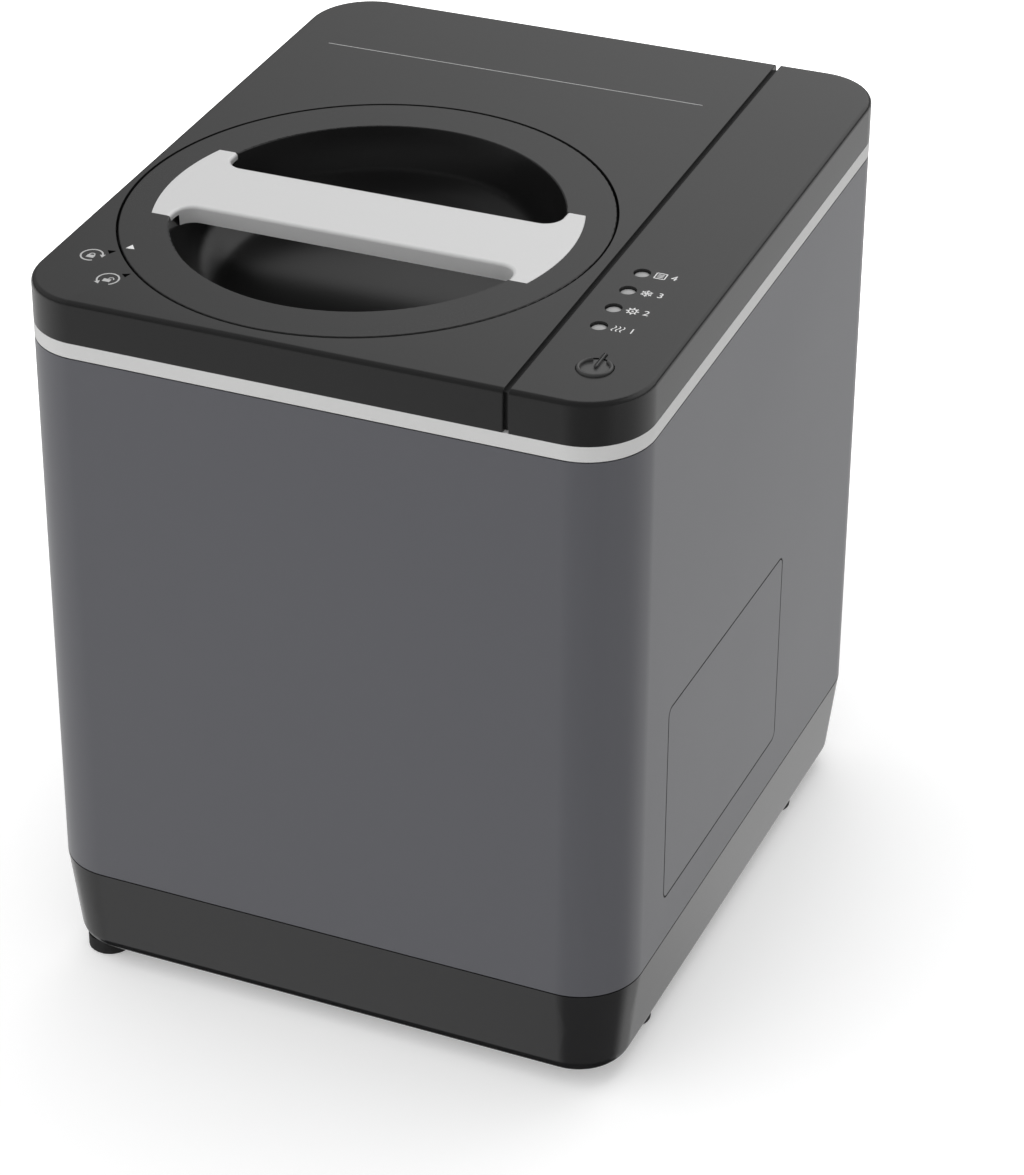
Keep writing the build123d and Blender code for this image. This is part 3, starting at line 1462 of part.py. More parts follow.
with BuildPart() as filter_hatch:
    with BuildSketch(right_face.offset(-hatch_thickness)):
        RectangleRounded(hatch_length - 2 * hatch_gap, hatch_height - 2 * hatch_gap, hatch_corner - hatch_gap)
    extrude(amount=hatch_thickness)
    with BuildSketch(right_face.offset(-hatch_thickness)):
        add(hatch_rim())
    extrude(amount=-(rim_depth - hatch_gasket_thickness))
save(filter_hatch.part, "filter_hatch")

with BuildPart() as hatch_gasket:
    with BuildSketch(right_face.offset(hatch_gasket_thickness - hatch_thickness - rim_depth)):
        add(hatch_rim())
    extrude(amount=-hatch_gasket_thickness)
save(hatch_gasket.part, "hatch_gasket")


def fan_plane(x, z, fan_width):
    """Plane on the front face of a fan that blows backwards through the rear wall."""
    return Plane(origin=(x, rear_inside - fan_width, z), x_dir=(1, 0, 0), z_dir=(0, 1, 0))


port_x = bucket_x + well_radius + well_wall
duct_bottom = housing_top
duct_outer = duct_radius + duct_wall
duct_start = (port_x, bucket_y, duct_z)
duct_knee = (duct_x, bucket_y, duct_z)
duct_end = (duct_x, bucket_y, duct_bottom)
with BuildPart() as intake_duct:
    with BuildLine():
        FilletPolyline(duct_start, duct_knee, duct_end, radius=duct_outer + bite)
    with BuildSketch(Plane(origin=duct_start, z_dir=(1, 0, 0))):
        Circle(duct_outer)
        Circle(duct_radius, mode=Mode.SUBTRACT)
    sweep()
save(intake_duct.part, "intake_duct")

duct_inlet = Plane(origin=(duct_x, housing_rear, filter_z), x_dir=(1, 0, 0), z_dir=(0, 1, 0))
duct_outlet = fan_plane(exhaust_x, exhaust_z, exhaust_width)
duct_outlet_radius = exhaust_size / 2 - fan_wall
with BuildPart() as exhaust_duct:
    with BuildSketch(duct_inlet):
        Circle(exhaust_hole)
    with BuildSketch(duct_outlet):
        Circle(duct_outlet_radius)
    loft()
    with BuildSketch(duct_inlet):
        Circle(exhaust_hole - duct_wall)
    with BuildSketch(duct_outlet):
        Circle(duct_outlet_radius - duct_wall)
    loft(mode=Mode.SUBTRACT)
save(exhaust_duct.part, "exhaust_duct")


def fan_case(size, fan_width, plane):
    """Square fan frame with its motor seat and struts at the rear."""
    bore = size / 2 - fan_wall
    seat = fan_hub_share * size
    with BuildPart(mode=Mode.PRIVATE) as case:
        with BuildSketch(plane):
            RectangleRounded(size, size, hatch_corner)
            Circle(bore, mode=Mode.SUBTRACT)
            with GridLocations(size - 2 * fan_hole_inset, size - 2 * fan_hole_inset, 2, 2):
                Circle(fan_hole_radius, mode=Mode.SUBTRACT)
        extrude(amount=fan_width)
        with BuildSketch(plane.offset(fan_width - fan_strut)):
            Circle(seat)
            Rectangle(2 * bore + bite, fan_strut)
            Rectangle(fan_strut, 2 * bore + bite)
        extrude(amount=fan_strut)
        with BuildSketch(plane.offset(fan_width - fan_strut - fan_pin_length + bite)):
            Circle(fan_pin_radius)
        extrude(amount=fan_pin_length)
    return case.part


def fan_rotor(size, fan_width, plane):
    """Fan rotor: a hub with a bore for the pin, and a ring of pitched blades."""
    tip = size / 2 - fan_wall - fan_tip_gap
    hub = fan_hub_share * size
    hub_length = fan_width - fan_front_gap - fan_rear_gap
    blade_depth = hub_length - 2 * fan_blade_inset
    blade_length = tip - hub + bite
    with BuildPart(mode=Mode.PRIVATE) as rotor:
        with BuildSketch(plane.offset(fan_front_gap)):
            Circle(hub)
        extrude(amount=hub_length)
        with Locations(plane.offset(fan_front_gap + hub_length / 2).location):
            with PolarLocations(hub - bite + blade_length / 2, fan_blades):
                Box(blade_length, fan_blade_thickness, blade_depth, rotation=(fan_blade_pitch, 0, 0))
        with BuildSketch(plane.offset(fan_width - fan_strut - fan_pin_length)):
            Circle(fan_pin_radius + running_gap)
        extrude(amount=fan_width, mode=Mode.SUBTRACT)
    return rotor.part


exhaust_plane = fan_plane(exhaust_x, exhaust_z, exhaust_width)
cooling_plane = fan_plane(cooling_x, cooling_z, cooling_width)
with BuildPart() as exhaust_fan_case:
    add(fan_case(exhaust_size, exhaust_width, exhaust_plane))
save(exhaust_fan_case.part, "exhaust_fan_case")

with BuildPart() as exhaust_fan_rotor:
    add(fan_rotor(exhaust_size, exhaust_width, exhaust_plane))
save(exhaust_fan_rotor.part, "exhaust_fan_rotor")

with BuildPart() as cooling_fan_case:
    add(fan_case(cooling_size, cooling_width, cooling_plane))
save(cooling_fan_case.part, "cooling_fan_case")

with BuildPart() as cooling_fan_rotor:
    add(fan_rotor(cooling_size, cooling_width, cooling_plane))
save(cooling_fan_rotor.part, "cooling_fan_rotor")

slat_pitch = 3 * vent_slot
slat_count = int(grille_size / slat_pitch)
with BuildPart() as exhaust_grille:
    with BuildSketch(Plane(origin=(exhaust_x, depth / 2, exhaust_z), x_dir=(-1, 0, 0), z_dir=(0, 1, 0))):
        RectangleRounded(grille_size - 2 * hatch_gap, grille_size - 2 * hatch_gap, hatch_corner - hatch_gap)
        with GridLocations(0, slat_pitch, 1, slat_count - 1):
            SlotOverall(grille_size - 2 * slat_inset, slat_pitch - vent_slot, mode=Mode.SUBTRACT)
    extrude(amount=-wall)
save(exhaust_grille.part, "exhaust_grille")

# ================================================================ electrics
inlet_face = depth / 2 - inlet_setback
inlet_plane = Plane(origin=(inlet_x, inlet_face, inlet_z), x_dir=(-1, 0, 0), z_dir=(0, 1, 0))
pin_places = [(-pin_spread, -pin_raise), (pin_spread, -pin_raise), (0, pin_raise)]
with BuildPart() as power_inlet:
    with BuildSketch(inlet_plane):
        RectangleRounded(inlet_width, inlet_height, inlet_corner)
    extrude(amount=-inlet_depth)
    with BuildSketch(inlet_plane):
        RectangleRounded(socket_width, socket_height, socket_corner)
    extrude(amount=-socket_depth, mode=Mode.SUBTRACT)
    with BuildSketch(inlet_plane.offset(-inlet_depth)):
        with Locations(*pin_places):
            Rectangle(pin_width, pin_height)
    extrude(amount=inlet_depth - socket_depth + bite, mode=Mode.SUBTRACT)
save(power_inlet.part, "power_inlet")

with BuildPart() as inlet_pins:
    with BuildSketch(inlet_plane.offset(-inlet_depth - pin_tail)):
        with Locations(*pin_places):
            Rectangle(pin_width, pin_height)
    extrude(amount=inlet_depth + pin_tail - socket_depth + pin_reach)
save(inlet_pins.part, "inlet_pins")

board_left = main_board_gap + wall - width / 2
main_board_start = main_board_front - depth / 2
main_board_low = chassis_top + main_board_lift
main_board_y = (main_board_start, main_board_start + main_board_length)
main_board_z = (main_board_low, main_board_low + main_board_height)
bracket_x = board_left - bracket_thickness
bracket_top = chassis_top + bracket_thickness
with BuildPart() as board_bracket:
    add(bar((bracket_x, board_left), main_board_y, (chassis_top, main_board_z[1])))
    add(bar((bracket_x, board_left + bracket_foot), main_board_y, (chassis_top, bracket_top)))
save(board_bracket.part, "board_bracket")

board_face = board_left + standoff_length
standoff_places = [
    Location((board_left, y, z), (0, 90, 0))
    for y in (main_board_y[0] + standoff_inset, main_board_y[1] - standoff_inset)
    for z in (main_board_z[0] + standoff_inset, main_board_z[1] - standoff_inset)
]
capacitor_axes = [
    Location((board_face, main_board_start + along, main_board_low + up), (0, 90, 0))
    for along, up in capacitor_places
]


def board_block(size, place):
    """Block on the main board: height off it, length and width, and its corner on it."""
    start = main_board_start + place[0]
    low = main_board_low + place[1]
    return bar((board_face, board_face + size[0]), (start, start + size[1]), (low, low + size[2]))


with BuildPart() as main_board:
    add(bar((board_face, board_face + board_thickness), main_board_y, main_board_z))
    with Locations(*standoff_places):
        Cylinder(standoff_radius, standoff_length + board_thickness / 2, align=standing)
    add(board_block(transformer, transformer_place))
    add(board_block(relay, relay_place))
    add(board_block(controller, controller_place))
    with Locations(*capacitor_axes):
        Cylinder(capacitor_radius, capacitor_length, align=standing)
save(main_board.part, "main_board")
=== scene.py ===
"""Dressed scene of an electric food waste composter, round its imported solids.

Lengths are in metres unless a name ends in _mm. +Z is up and the front faces -Y.
"""

import json
import logging
import math
from dataclasses import dataclass
from enum import Enum
from typing import Iterable, Sequence

import bmesh
import bpy
from mathutils import Matrix, Vector

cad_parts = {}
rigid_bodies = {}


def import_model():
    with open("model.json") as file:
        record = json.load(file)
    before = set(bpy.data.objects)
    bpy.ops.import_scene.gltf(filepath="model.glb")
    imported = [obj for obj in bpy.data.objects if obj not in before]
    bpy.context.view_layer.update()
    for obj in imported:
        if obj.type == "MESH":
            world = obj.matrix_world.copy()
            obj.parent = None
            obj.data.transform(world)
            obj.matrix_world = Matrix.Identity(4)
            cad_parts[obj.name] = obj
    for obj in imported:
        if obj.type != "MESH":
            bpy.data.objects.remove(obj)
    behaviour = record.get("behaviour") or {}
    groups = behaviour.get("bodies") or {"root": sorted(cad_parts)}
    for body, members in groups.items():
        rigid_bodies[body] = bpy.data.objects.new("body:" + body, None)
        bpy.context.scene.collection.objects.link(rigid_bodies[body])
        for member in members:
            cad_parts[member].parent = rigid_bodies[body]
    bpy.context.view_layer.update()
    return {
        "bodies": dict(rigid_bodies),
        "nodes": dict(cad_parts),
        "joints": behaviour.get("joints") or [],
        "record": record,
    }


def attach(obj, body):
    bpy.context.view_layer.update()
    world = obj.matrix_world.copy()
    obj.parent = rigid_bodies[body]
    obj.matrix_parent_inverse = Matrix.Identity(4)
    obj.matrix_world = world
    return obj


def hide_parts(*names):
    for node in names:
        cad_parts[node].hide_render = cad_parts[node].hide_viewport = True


log = logging.getLogger("composter")

MM = 0.001
Colour = tuple[float, float, float]
Point2 = tuple[float, float]
Point3 = tuple[float, float, float]
Ramp = tuple[float, float]


def shade(colour: Colour, factor: float) -> Colour:
    """A colour made darker or lighter, by a factor below or above 1."""
    return tuple(part * factor for part in colour)


def ray(degrees: float) -> Vector:
    """Unit vector in the plane at an angle from X."""
    return Vector((math.cos(math.radians(degrees)), math.sin(math.radians(degrees))))


def show(name: str, data: bpy.types.ID) -> bpy.types.Object:
    """Make an object of a mesh, text, light or camera and put it in the scene.

    Args:
        name: The object's name.
        data: What it shows.

    Returns:
        The object.
    """
    shown = bpy.data.objects.new(name, data)
    bpy.context.scene.collection.objects.link(shown)
    return shown


# ---------------------------------------------------------------- shader writing


class Value:
    """A number socket of a shader: arithmetic on it adds Math nodes."""

    def __init__(self, sheet: "NodeSheet", socket: bpy.types.NodeSocket) -> None:
        """Wrap a socket.

        Args:
            sheet: The node sheet that the socket belongs to.
            socket: An output socket that gives a number.
        """
        self.sheet = sheet
        self.socket = socket

    def _math(self, operation: str, *terms: "Value | float") -> "Value":
        """Add one Math node.

        Args:
            operation: Blender's name of the operation.
            terms: The operands, in order.

        Returns:
            The node's result.
        """
        inputs = {index: term for index, term in enumerate(terms)}
        return self.sheet.value("ShaderNodeMath", {"operation": operation}, inputs)

    def __add__(self, other: "Value | float") -> "Value":
        """Sum."""
        return self._math("ADD", self, other)

    def __radd__(self, other: float) -> "Value":
        """Sum, reflected."""
        return self._math("ADD", other, self)

    def __sub__(self, other: "Value | float") -> "Value":
        """Difference."""
        return self._math("SUBTRACT", self, other)

    def __rsub__(self, other: float) -> "Value":
        """Difference, reflected."""
        return self._math("SUBTRACT", other, self)

    def __mul__(self, other: "Value | float") -> "Value":
        """Product."""
        return self._math("MULTIPLY", self, other)

    def __rmul__(self, other: float) -> "Value":
        """Product, reflected."""
        return self._math("MULTIPLY", other, self)

    def __truediv__(self, other: "Value | float") -> "Value":
        """Quotient."""
        return self._math("DIVIDE", self, other)

    def __lt__(self, other: "Value | float") -> "Value":
        """1 where this is less than the other, else 0."""
        return self._math("LESS_THAN", self, other)

    def maximum(self, other: "Value | float") -> "Value":
        """The larger of the two."""
        return self._math("MAXIMUM", self, other)

    def minimum(self, other: "Value | float") -> "Value":
        """The smaller of the two."""
        return self._math("MINIMUM", self, other)

    def absolute(self) -> "Value":
        """The size without the sign."""
        return self._math("ABSOLUTE", self)

    def sine(self) -> "Value":
        """Sine of an angle in radians."""
        return self._math("SINE", self)

    def root(self) -> "Value":
        """Square root."""
        return self._math("SQRT", self)

    def ramp(self, low: float, high: float, start: float = 0.0, end: float = 1.0) -> "Value":
        """Smooth step from one number to another.

        Args:
            low: Where the step starts.
            high: Where the step ends.
            start: The result at and below low.
            end: The result at and above high.

        Returns:
            The stepped number.
        """
        settings = {"interpolation_type": "SMOOTHSTEP", "clamp": True}
        inputs = {"Value": self, "From Min": low, "From Max": high, "To Min": start, "To Max": end}
        return self.sheet.value("ShaderNodeMapRange", settings, inputs, "Result")


class NodeSheet:
    """The node tree of one material or world."""

    def __init__(self, owner: bpy.types.Material | bpy.types.World) -> None:
        """Clear the tree of a material or world.

        Args:
            owner: What the nodes belong to.
        """
        owner.use_nodes = True
        self.tree = owner.node_tree
        self.tree.nodes.clear()

    def node(self, kind: str, settings: dict | None = None, inputs: dict | None = None) -> bpy.types.Node:
        """Add one node.

        Args:
            kind: The node's Blender type.
            settings: Properties, set before the sockets.
            inputs: Socket name or index to a number, colour, Value or output socket.

        Returns:
            The node.
        """
        made = self.tree.nodes.new(kind)
        for name, setting in (settings or {}).items():
            setattr(made, name, setting)
        for name, given in (inputs or {}).items():
            target = made.inputs[name]
            if isinstance(given, Value):
                self.tree.links.new(given.socket, target)
            elif isinstance(given, bpy.types.NodeSocket):
                self.tree.links.new(given, target)
            else:
                target.default_value = given
        return made

    def value(self, kind: str, settings: dict, inputs: dict, output: str | int = 0) -> Value:
        """Add one node and wrap one of its number outputs.

        Args:
            kind: The node's Blender type.
            settings: Properties, set before the sockets.
            inputs: As for node().
            output: The output's name or index.

        Returns:
            The wrapped output.
        """
        return Value(self, self.node(kind, settings, inputs).outputs[output])

    def place(self) -> bpy.types.NodeSocket:
        """Object coordinates of the surface, in metres."""
        return self.node("ShaderNodeTexCoord").outputs["Object"]

    def moved(self, offset: Sequence[float], turn: Sequence[float] = (0, 0, 0),
              scale: Sequence[float] = (1, 1, 1)) -> bpy.types.NodeSocket:
        """Object coordinates, moved, turned and scaled.

        Args:
            offset: The point that becomes the origin.
            turn: Euler angles in radians.
            scale: Factors along the turned axes.

        Returns:
            The new coordinates.
        """
        settings = {"vector_type": "TEXTURE"}
        stretch = tuple(1 / part for part in scale)
        inputs = {"Vector": self.place(), "Location": offset, "Rotation": turn, "Scale": stretch}
        return self.node("ShaderNodeMapping", settings, inputs).outputs["Vector"]

    def parts(self, vector: bpy.types.NodeSocket) -> tuple[Value, Value, Value]:
        """The three parts of a vector."""
        split = self.node("ShaderNodeSeparateXYZ", inputs={"Vector": vector})
        return tuple(Value(self, split.outputs[name]) for name in "XYZ")

    def noise(self, vector: bpy.types.NodeSocket, scale: float, detail: float = 2.0,
              roughness: float = 0.5) -> Value:
        """Noise between 0 and 1.

        Args:
            vector: Where it is read.
            scale: Cells per metre.
            detail: How many finer layers it has.
            roughness: How strong those layers are.

        Returns:
            The noise.
        """
        inputs = {"Vector": vector, "Scale": scale, "Detail": detail, "Roughness": roughness}
        return self.value("ShaderNodeTexNoise", {"noise_dimensions": "3D"}, inputs, 0)

    def blend(self, factor: Value, first: Colour | bpy.types.NodeSocket,
              second: Colour | bpy.types.NodeSocket) -> bpy.types.NodeSocket:
        """Mix two colours.

        Args:
            factor: 0 for the first, 1 for the second.
            first: A colour of three parts, or a colour socket.
            second: The same.

        Returns:
            The mixed colour.
        """
        mix = self.node("ShaderNodeMix", {"data_type": "RGBA"}, {"Factor": factor})
        for index, given in ((6, first), (7, second)):
            if isinstance(given, bpy.types.NodeSocket):
                self.tree.links.new(given, mix.inputs[index])
            else:
                mix.inputs[index].default_value = (*given, 1.0)
        return mix.outputs[2]

    def bump(self, height: Value, depth: float) -> bpy.types.NodeSocket:
        """Normal bumped by a height from 0 to 1, where 1 stands for a depth in metres."""
        inputs = {"Height": height, "Distance": depth, "Strength": 1.0}
        return self.node("ShaderNodeBump", inputs=inputs).outputs["Normal"]

    def surface(self, inputs: dict) -> None:
        """Add the Principled shader, with sockets as for node(), and the output."""
        shader = self.node("ShaderNodeBsdfPrincipled", inputs=inputs)
        self.node("ShaderNodeOutputMaterial", inputs={"Surface": shader.outputs[0]})


# ---------------------------------------------------------------- the machine's own sizes


@dataclass(frozen=True)
class Machine:
    """Sizes of the machine that the added pieces and finishes are set against."""

    width: float = 279.4 * MM
    depth: float = 320.0 * MM
    height: float = 360.7 * MM
    slope: float = math.radians(3.6)
    lid_x: float = -27.5 * MM
    lid_y: float = -44.6 * MM
    dish_radius: float = 85.5 * MM
    bucket_x: float = -27.5 * MM
    bucket_y: float = -42.97 * MM
    hatch_y: float = -34.2 * MM
    hatch_z: float = 125.35 * MM
    hatch_length: float = 144.0 * MM
    hatch_height: float = 97.7 * MM
    hatch_corner: float = 4.0 * MM

    def surface_z(self, y: float) -> float:
        """Height of the sloping top at a distance from the middle.

        Args:
            y: Place along the machine.

        Returns:
            The height of the surface there.
        """
        return self.height - (self.depth / 2 - y) * math.tan(self.slope)

    def on_top(self, x: float, y: float) -> Matrix:
        """Frame on the sloping top, its Z along the surface's normal.

        Args:
            x: Place across the machine.
            y: Place along the machine.

        Returns:
            The matrix from that frame to the machine.
        """
        return Matrix.Translation((x, y, self.surface_z(y))) @ Matrix.Rotation(self.slope, 4, "X")

    def lid_frame(self) -> Matrix:
        """Frame on the lid's axis, in the plane of the lid's face."""
        return self.on_top(self.lid_x, self.lid_y)


MACHINE = Machine()


# ---------------------------------------------------------------- finishes


@dataclass(frozen=True)
class Finish:
    """Base of every finish: a name and a way to make its material."""

    name: str

    def paint(self, sheet: NodeSheet) -> None:
        """Write the finish's nodes."""
        raise NotImplementedError

    def material(self) -> bpy.types.Material:
        """The finish's material, made once.

        Returns:
            The material.
        """
        made = bpy.data.materials.get(self.name)
        if made is None:
            made = bpy.data.materials.new(self.name)
            self.paint(NodeSheet(made))
        return made


@dataclass(frozen=True)
class Moulded(Finish):
    """Moulded plastic with a fine spark-eroded grain."""

    colour: Colour
    roughness: float = 0.4
    tone: float = 0.08
    cloud_scale: float = 9.0
    cloud_gloss: float = 0.06
    grain_scale: float = 2600.0
    grain_gloss: float = 0.05
    grain_depth: float = 0.012 * MM

    def skin(self, sheet: NodeSheet) -> tuple[bpy.types.NodeSocket, Value, Value]:
        """Write what every moulded plastic shares.

        Args:
            sheet: The sheet that the nodes go on.

        Returns:
            Its colour, its roughness and its grain.
        """
        place = sheet.place()
        cloud = sheet.noise(place, self.cloud_scale, 3.0)
        grain = sheet.noise(place, self.grain_scale, 2.0, 0.6)
        colour = sheet.blend(cloud, shade(self.colour, 1 - self.tone), shade(self.colour, 1 + self.tone))
        rough = (cloud - 0.5) * self.cloud_gloss + (grain - 0.5) * self.grain_gloss + self.roughness
        return colour, rough, grain

    def paint(self, sheet: NodeSheet) -> None:
        """Write the nodes: slow tone changes, fine grain and a little uneven gloss.

        Args:
            sheet: The sheet that the nodes go on.
        """
        colour, rough, grain = self.skin(sheet)
        normal = sheet.bump(grain, self.grain_depth)
        sheet.surface({"Base Color": colour, "Roughness": rough, "Normal": normal})


@dataclass(frozen=True)
class ShellPlastic(Moulded):
    """The shell's plastic, with a painted shadow line in the joint all round the filter hatch."""

    # width, strength and reach of the painted shadow line that stands for the shade in the hatch's gap
    line_half: float = 0.55 * MM
    line_full: float = 0.33 * MM
    line_shade: float = 0.1
    line_rough: float = 0.3
    line_from_side: Ramp = (-8 * MM, -7 * MM)

    def joint_line(self, sheet: NodeSheet) -> Value:
        """Write the mask of the painted shadow line: 1 along the hatch's outline.

        Args:
            sheet: The sheet that the nodes go on.

        Returns:
            The mask.
        """
        x, y, z = sheet.parts(sheet.place())
        corner = MACHINE.hatch_corner
        along = (y - MACHINE.hatch_y).absolute() - (MACHINE.hatch_length / 2 - corner)
        up = (z - MACHINE.hatch_z).absolute() - (MACHINE.hatch_height / 2 - corner)
        past_along, past_up = along.maximum(0.0), up.maximum(0.0)
        outside = (past_along * past_along + past_up * past_up).root()
        away = (outside + along.maximum(up).minimum(0.0) - corner).absolute()
        near_side = (x - MACHINE.width / 2).ramp(*self.line_from_side)
        return away.ramp(self.line_half, self.line_full) * near_side

    def paint(self, sheet: NodeSheet) -> None:
        """Write the nodes: the plastic, darker (painted shadow) and duller along the hatch's joint.

        Args:
            sheet: The sheet that the nodes go on.
        """
        colour, rough, grain = self.skin(sheet)
        # painted shadow: the base colour is darkened along the hatch's joint, where the gap's shade falls
        line = self.joint_line(sheet)
        sheet.surface({
            "Base Color": sheet.blend(line, colour, shade(self.colour, self.line_shade)),
            "Roughness": rough + line * self.line_rough,
            "Normal": sheet.bump(grain, self.grain_depth),
        })


@dataclass(frozen=True)
class DishPlastic(Moulded):
    """The lid's plastic: grained on its rim, polished in its dish."""

    polish: float = 0.24
    polish_scale: float = 30.0
    polish_waver: float = 0.03
    dish_colour: Colour = (0.006, 0.006, 0.006)
    dish_edge: Ramp = (0.5 * MM, -0.2 * MM)
    dish_top: Ramp = (0.0, -0.7 * MM)
    dish_foot: Ramp = (-32 * MM, -31 * MM)

    def dish(self, sheet: NodeSheet) -> Value:
        """Write a mask that is 1 inside the dish.

        Args:
            sheet: The sheet that the nodes go on.

        Returns:
            The mask.
        """
        x, y, z = sheet.parts(sheet.moved(MACHINE.lid_frame().translation, (MACHINE.slope, 0, 0)))
        past_rim = (x * x + y * y).root() - MACHINE.dish_radius
        return past_rim.ramp(*self.dish_edge) * z.ramp(*self.dish_top) * z.ramp(*self.dish_foot)

    def paint(self, sheet: NodeSheet) -> None:
        """Write the nodes: the grained rim and the polished dish.

        Args:
            sheet: The sheet that the nodes go on.
        """
        colour, rough, grain = self.skin(sheet)
        inside = self.dish(sheet)
        waver = sheet.noise(sheet.place(), self.polish_scale, 1.0)
        dish_rough = (waver - 0.5) * self.polish_waver + self.polish
        sheet.surface({
            "Base Color": sheet.blend(inside, colour, self.dish_colour),
            "Roughness": rough * (1 - inside) + dish_rough * inside,
            "Normal": sheet.bump(grain * (1 - inside), self.grain_depth),
        })


@dataclass(frozen=True)
class SilverPaint(Finish):
    """Silver paint over plastic, with fine metal flake."""

    colour: Colour
    roughness: float = 0.38
    metallic: float = 0.25
    flake_scale: float = 5200.0
    flake_tone: float = 0.07
    flake_gloss: float = 0.12
    flake_depth: float = 0.004 * MM
    cloud_scale: float = 14.0
    cloud_gloss: float = 0.05

    def paint(self, sheet: NodeSheet) -> None:
        """Write the nodes: flake in the colour, the gloss and the surface.

        Args:
            sheet: The sheet that the nodes go on.
        """
        place = sheet.place()
        flake = sheet.noise(place, self.flake_scale, 1.0, 0.7)
        cloud = sheet.noise(place, self.cloud_scale, 2.0)
        darker, lighter = (shade(self.colour, 1 + side * self.flake_tone) for side in (-1, 1))
        uneven = (flake - 0.5) * self.flake_gloss + (cloud - 0.5) * self.cloud_gloss
        sheet.surface({
            "Base Color": sheet.blend(flake, darker, lighter),
            "Metallic": self.metallic,
            "Roughness": uneven + self.roughness,
            "Normal": sheet.bump(flake, self.flake_depth),
        })


class Lay(Enum):
    """Which way the marks of a metal's finish run."""

    BRUSHED = (1.0, 0.02, 1.0)
    CAST = (1.0, 1.0, 1.0)


@dataclass(frozen=True)
class BareMetal(Finish):
    """Bare metal: brushed one way, or cast."""

    colour: Colour
    roughness: float = 0.3
    lay: Lay = Lay.CAST
    grain_scale: float = 1800.0
    grain_gloss: float = 0.18
    grain_depth: float = 0.01 * MM
    stain_scale: float = 35.0
    stain_tone: float = 0.12
    stain_gloss: float = 0.1

    def paint(self, sheet: NodeSheet) -> None:
        """Write the nodes: stretched grain, faint stains.

        Args:
            sheet: The sheet that the nodes go on.
        """
        stretched = sheet.moved((0, 0, 0), scale=self.lay.value)
        grain = sheet.noise(stretched, self.grain_scale, 3.0, 0.6)
        stain = sheet.noise(sheet.place(), self.stain_scale, 4.0, 0.65)
        uneven = (grain - 0.5) * self.grain_gloss + (stain - 0.5) * self.stain_gloss
        sheet.surface({
            "Base Color": sheet.blend(stain, shade(self.colour, 1 - self.stain_tone), self.colour),
            "Metallic": 1.0,
            "Roughness": uneven + self.roughness,
            "Normal": sheet.bump(grain, self.grain_depth),
        })


@dataclass(frozen=True)
class TurnedMetal(Finish):
    """Metal turned or spun round the bucket's axis, with fine rings."""

    colour: Colour
    roughness: float = 0.3
    pitch: float = 0.5 * MM
    ring_waver: float = 4.0
    ring_gloss: float = 0.08
    ring_depth: float = 0.004 * MM
    stain_scale: float = 28.0
    stain_tone: float = 0.14
    stain_gloss: float = 0.12

    def paint(self, sheet: NodeSheet) -> None:
        """Write the nodes: rings by radius and height, softened by noise.

        Args:
            sheet: The sheet that the nodes go on.
        """
        local = sheet.moved((MACHINE.bucket_x, MACHINE.bucket_y, 0))
        x, y, z = sheet.parts(local)
        radius = (x * x + y * y).root()
        waver = sheet.noise(sheet.place(), 60.0, 2.0)
        turns = (radius + z) * (2 * math.pi / self.pitch) + waver * self.ring_waver
        rings = turns.sine() * 0.5 + 0.5
        stain = sheet.noise(sheet.place(), self.stain_scale, 4.0, 0.6)
        uneven = (rings - 0.5) * self.ring_gloss + (stain - 0.5) * self.stain_gloss
        sheet.surface({
            "Base Color": sheet.blend(stain, shade(self.colour, 1 - self.stain_tone), self.colour),
            "Metallic": 1.0,
            "Roughness": uneven + self.roughness,
            "Normal": sheet.bump(rings, self.ring_depth),
        })


@dataclass(frozen=True)
class Coating(Finish):
    """Dark non-stick coating: speckled and slightly uneven."""

    colour: Colour
    speck_colour: Colour
    roughness: float = 0.32
    metallic: float = 0.3
    speck_scale: float = 1500.0
    speck_edge: Ramp = (0.62, 0.7)
    peel_scale: float = 420.0
    peel_gloss: float = 0.15
    peel_depth: float = 0.02 * MM

    def paint(self, sheet: NodeSheet) -> None:
        """Write the nodes: fine specks and a soft orange-peel surface.

        Args:
            sheet: The sheet that the nodes go on.
        """
        place = sheet.place()
        specks = sheet.noise(place, self.speck_scale).ramp(*self.speck_edge)
        peel = sheet.noise(place, self.peel_scale)
        sheet.surface({
            "Base Color": sheet.blend(specks, self.colour, self.speck_colour),
            "Metallic": self.metallic,
            "Roughness": (peel - 0.5) * self.peel_gloss + self.roughness,
            "Normal": sheet.bump(peel, self.peel_depth),
        })


@dataclass(frozen=True)
class SoftRubber(Finish):
    """Rubber or silicone: matt, slightly dusty, finely pitted."""

    colour: Colour
    roughness: float = 0.75
    dust_scale: float = 90.0
    dust_edge: Ramp = (0.45, 0.8)
    dust_factor: float = 1.5
    dust_grey: float = 0.006
    dust_gloss: float = 0.1
    pit_scale: float = 1400.0
    pit_depth: float = 0.02 * MM

    def paint(self, sheet: NodeSheet) -> None:
        """Write the nodes: dust in the colour, pits in the surface.

        Args:
            sheet: The sheet that the nodes go on.
        """
        place = sheet.place()
        dust = sheet.noise(place, self.dust_scale, 4.0, 0.6)
        pits = sheet.noise(place, self.pit_scale)
        dusty = tuple(part * self.dust_factor + self.dust_grey for part in self.colour)
        sheet.surface({
            "Base Color": sheet.blend(dust.ramp(*self.dust_edge), self.colour, dusty),
            "Roughness": (dust - 0.5) * self.dust_gloss + self.roughness,
            "Normal": sheet.bump(pits, self.pit_depth),
        })


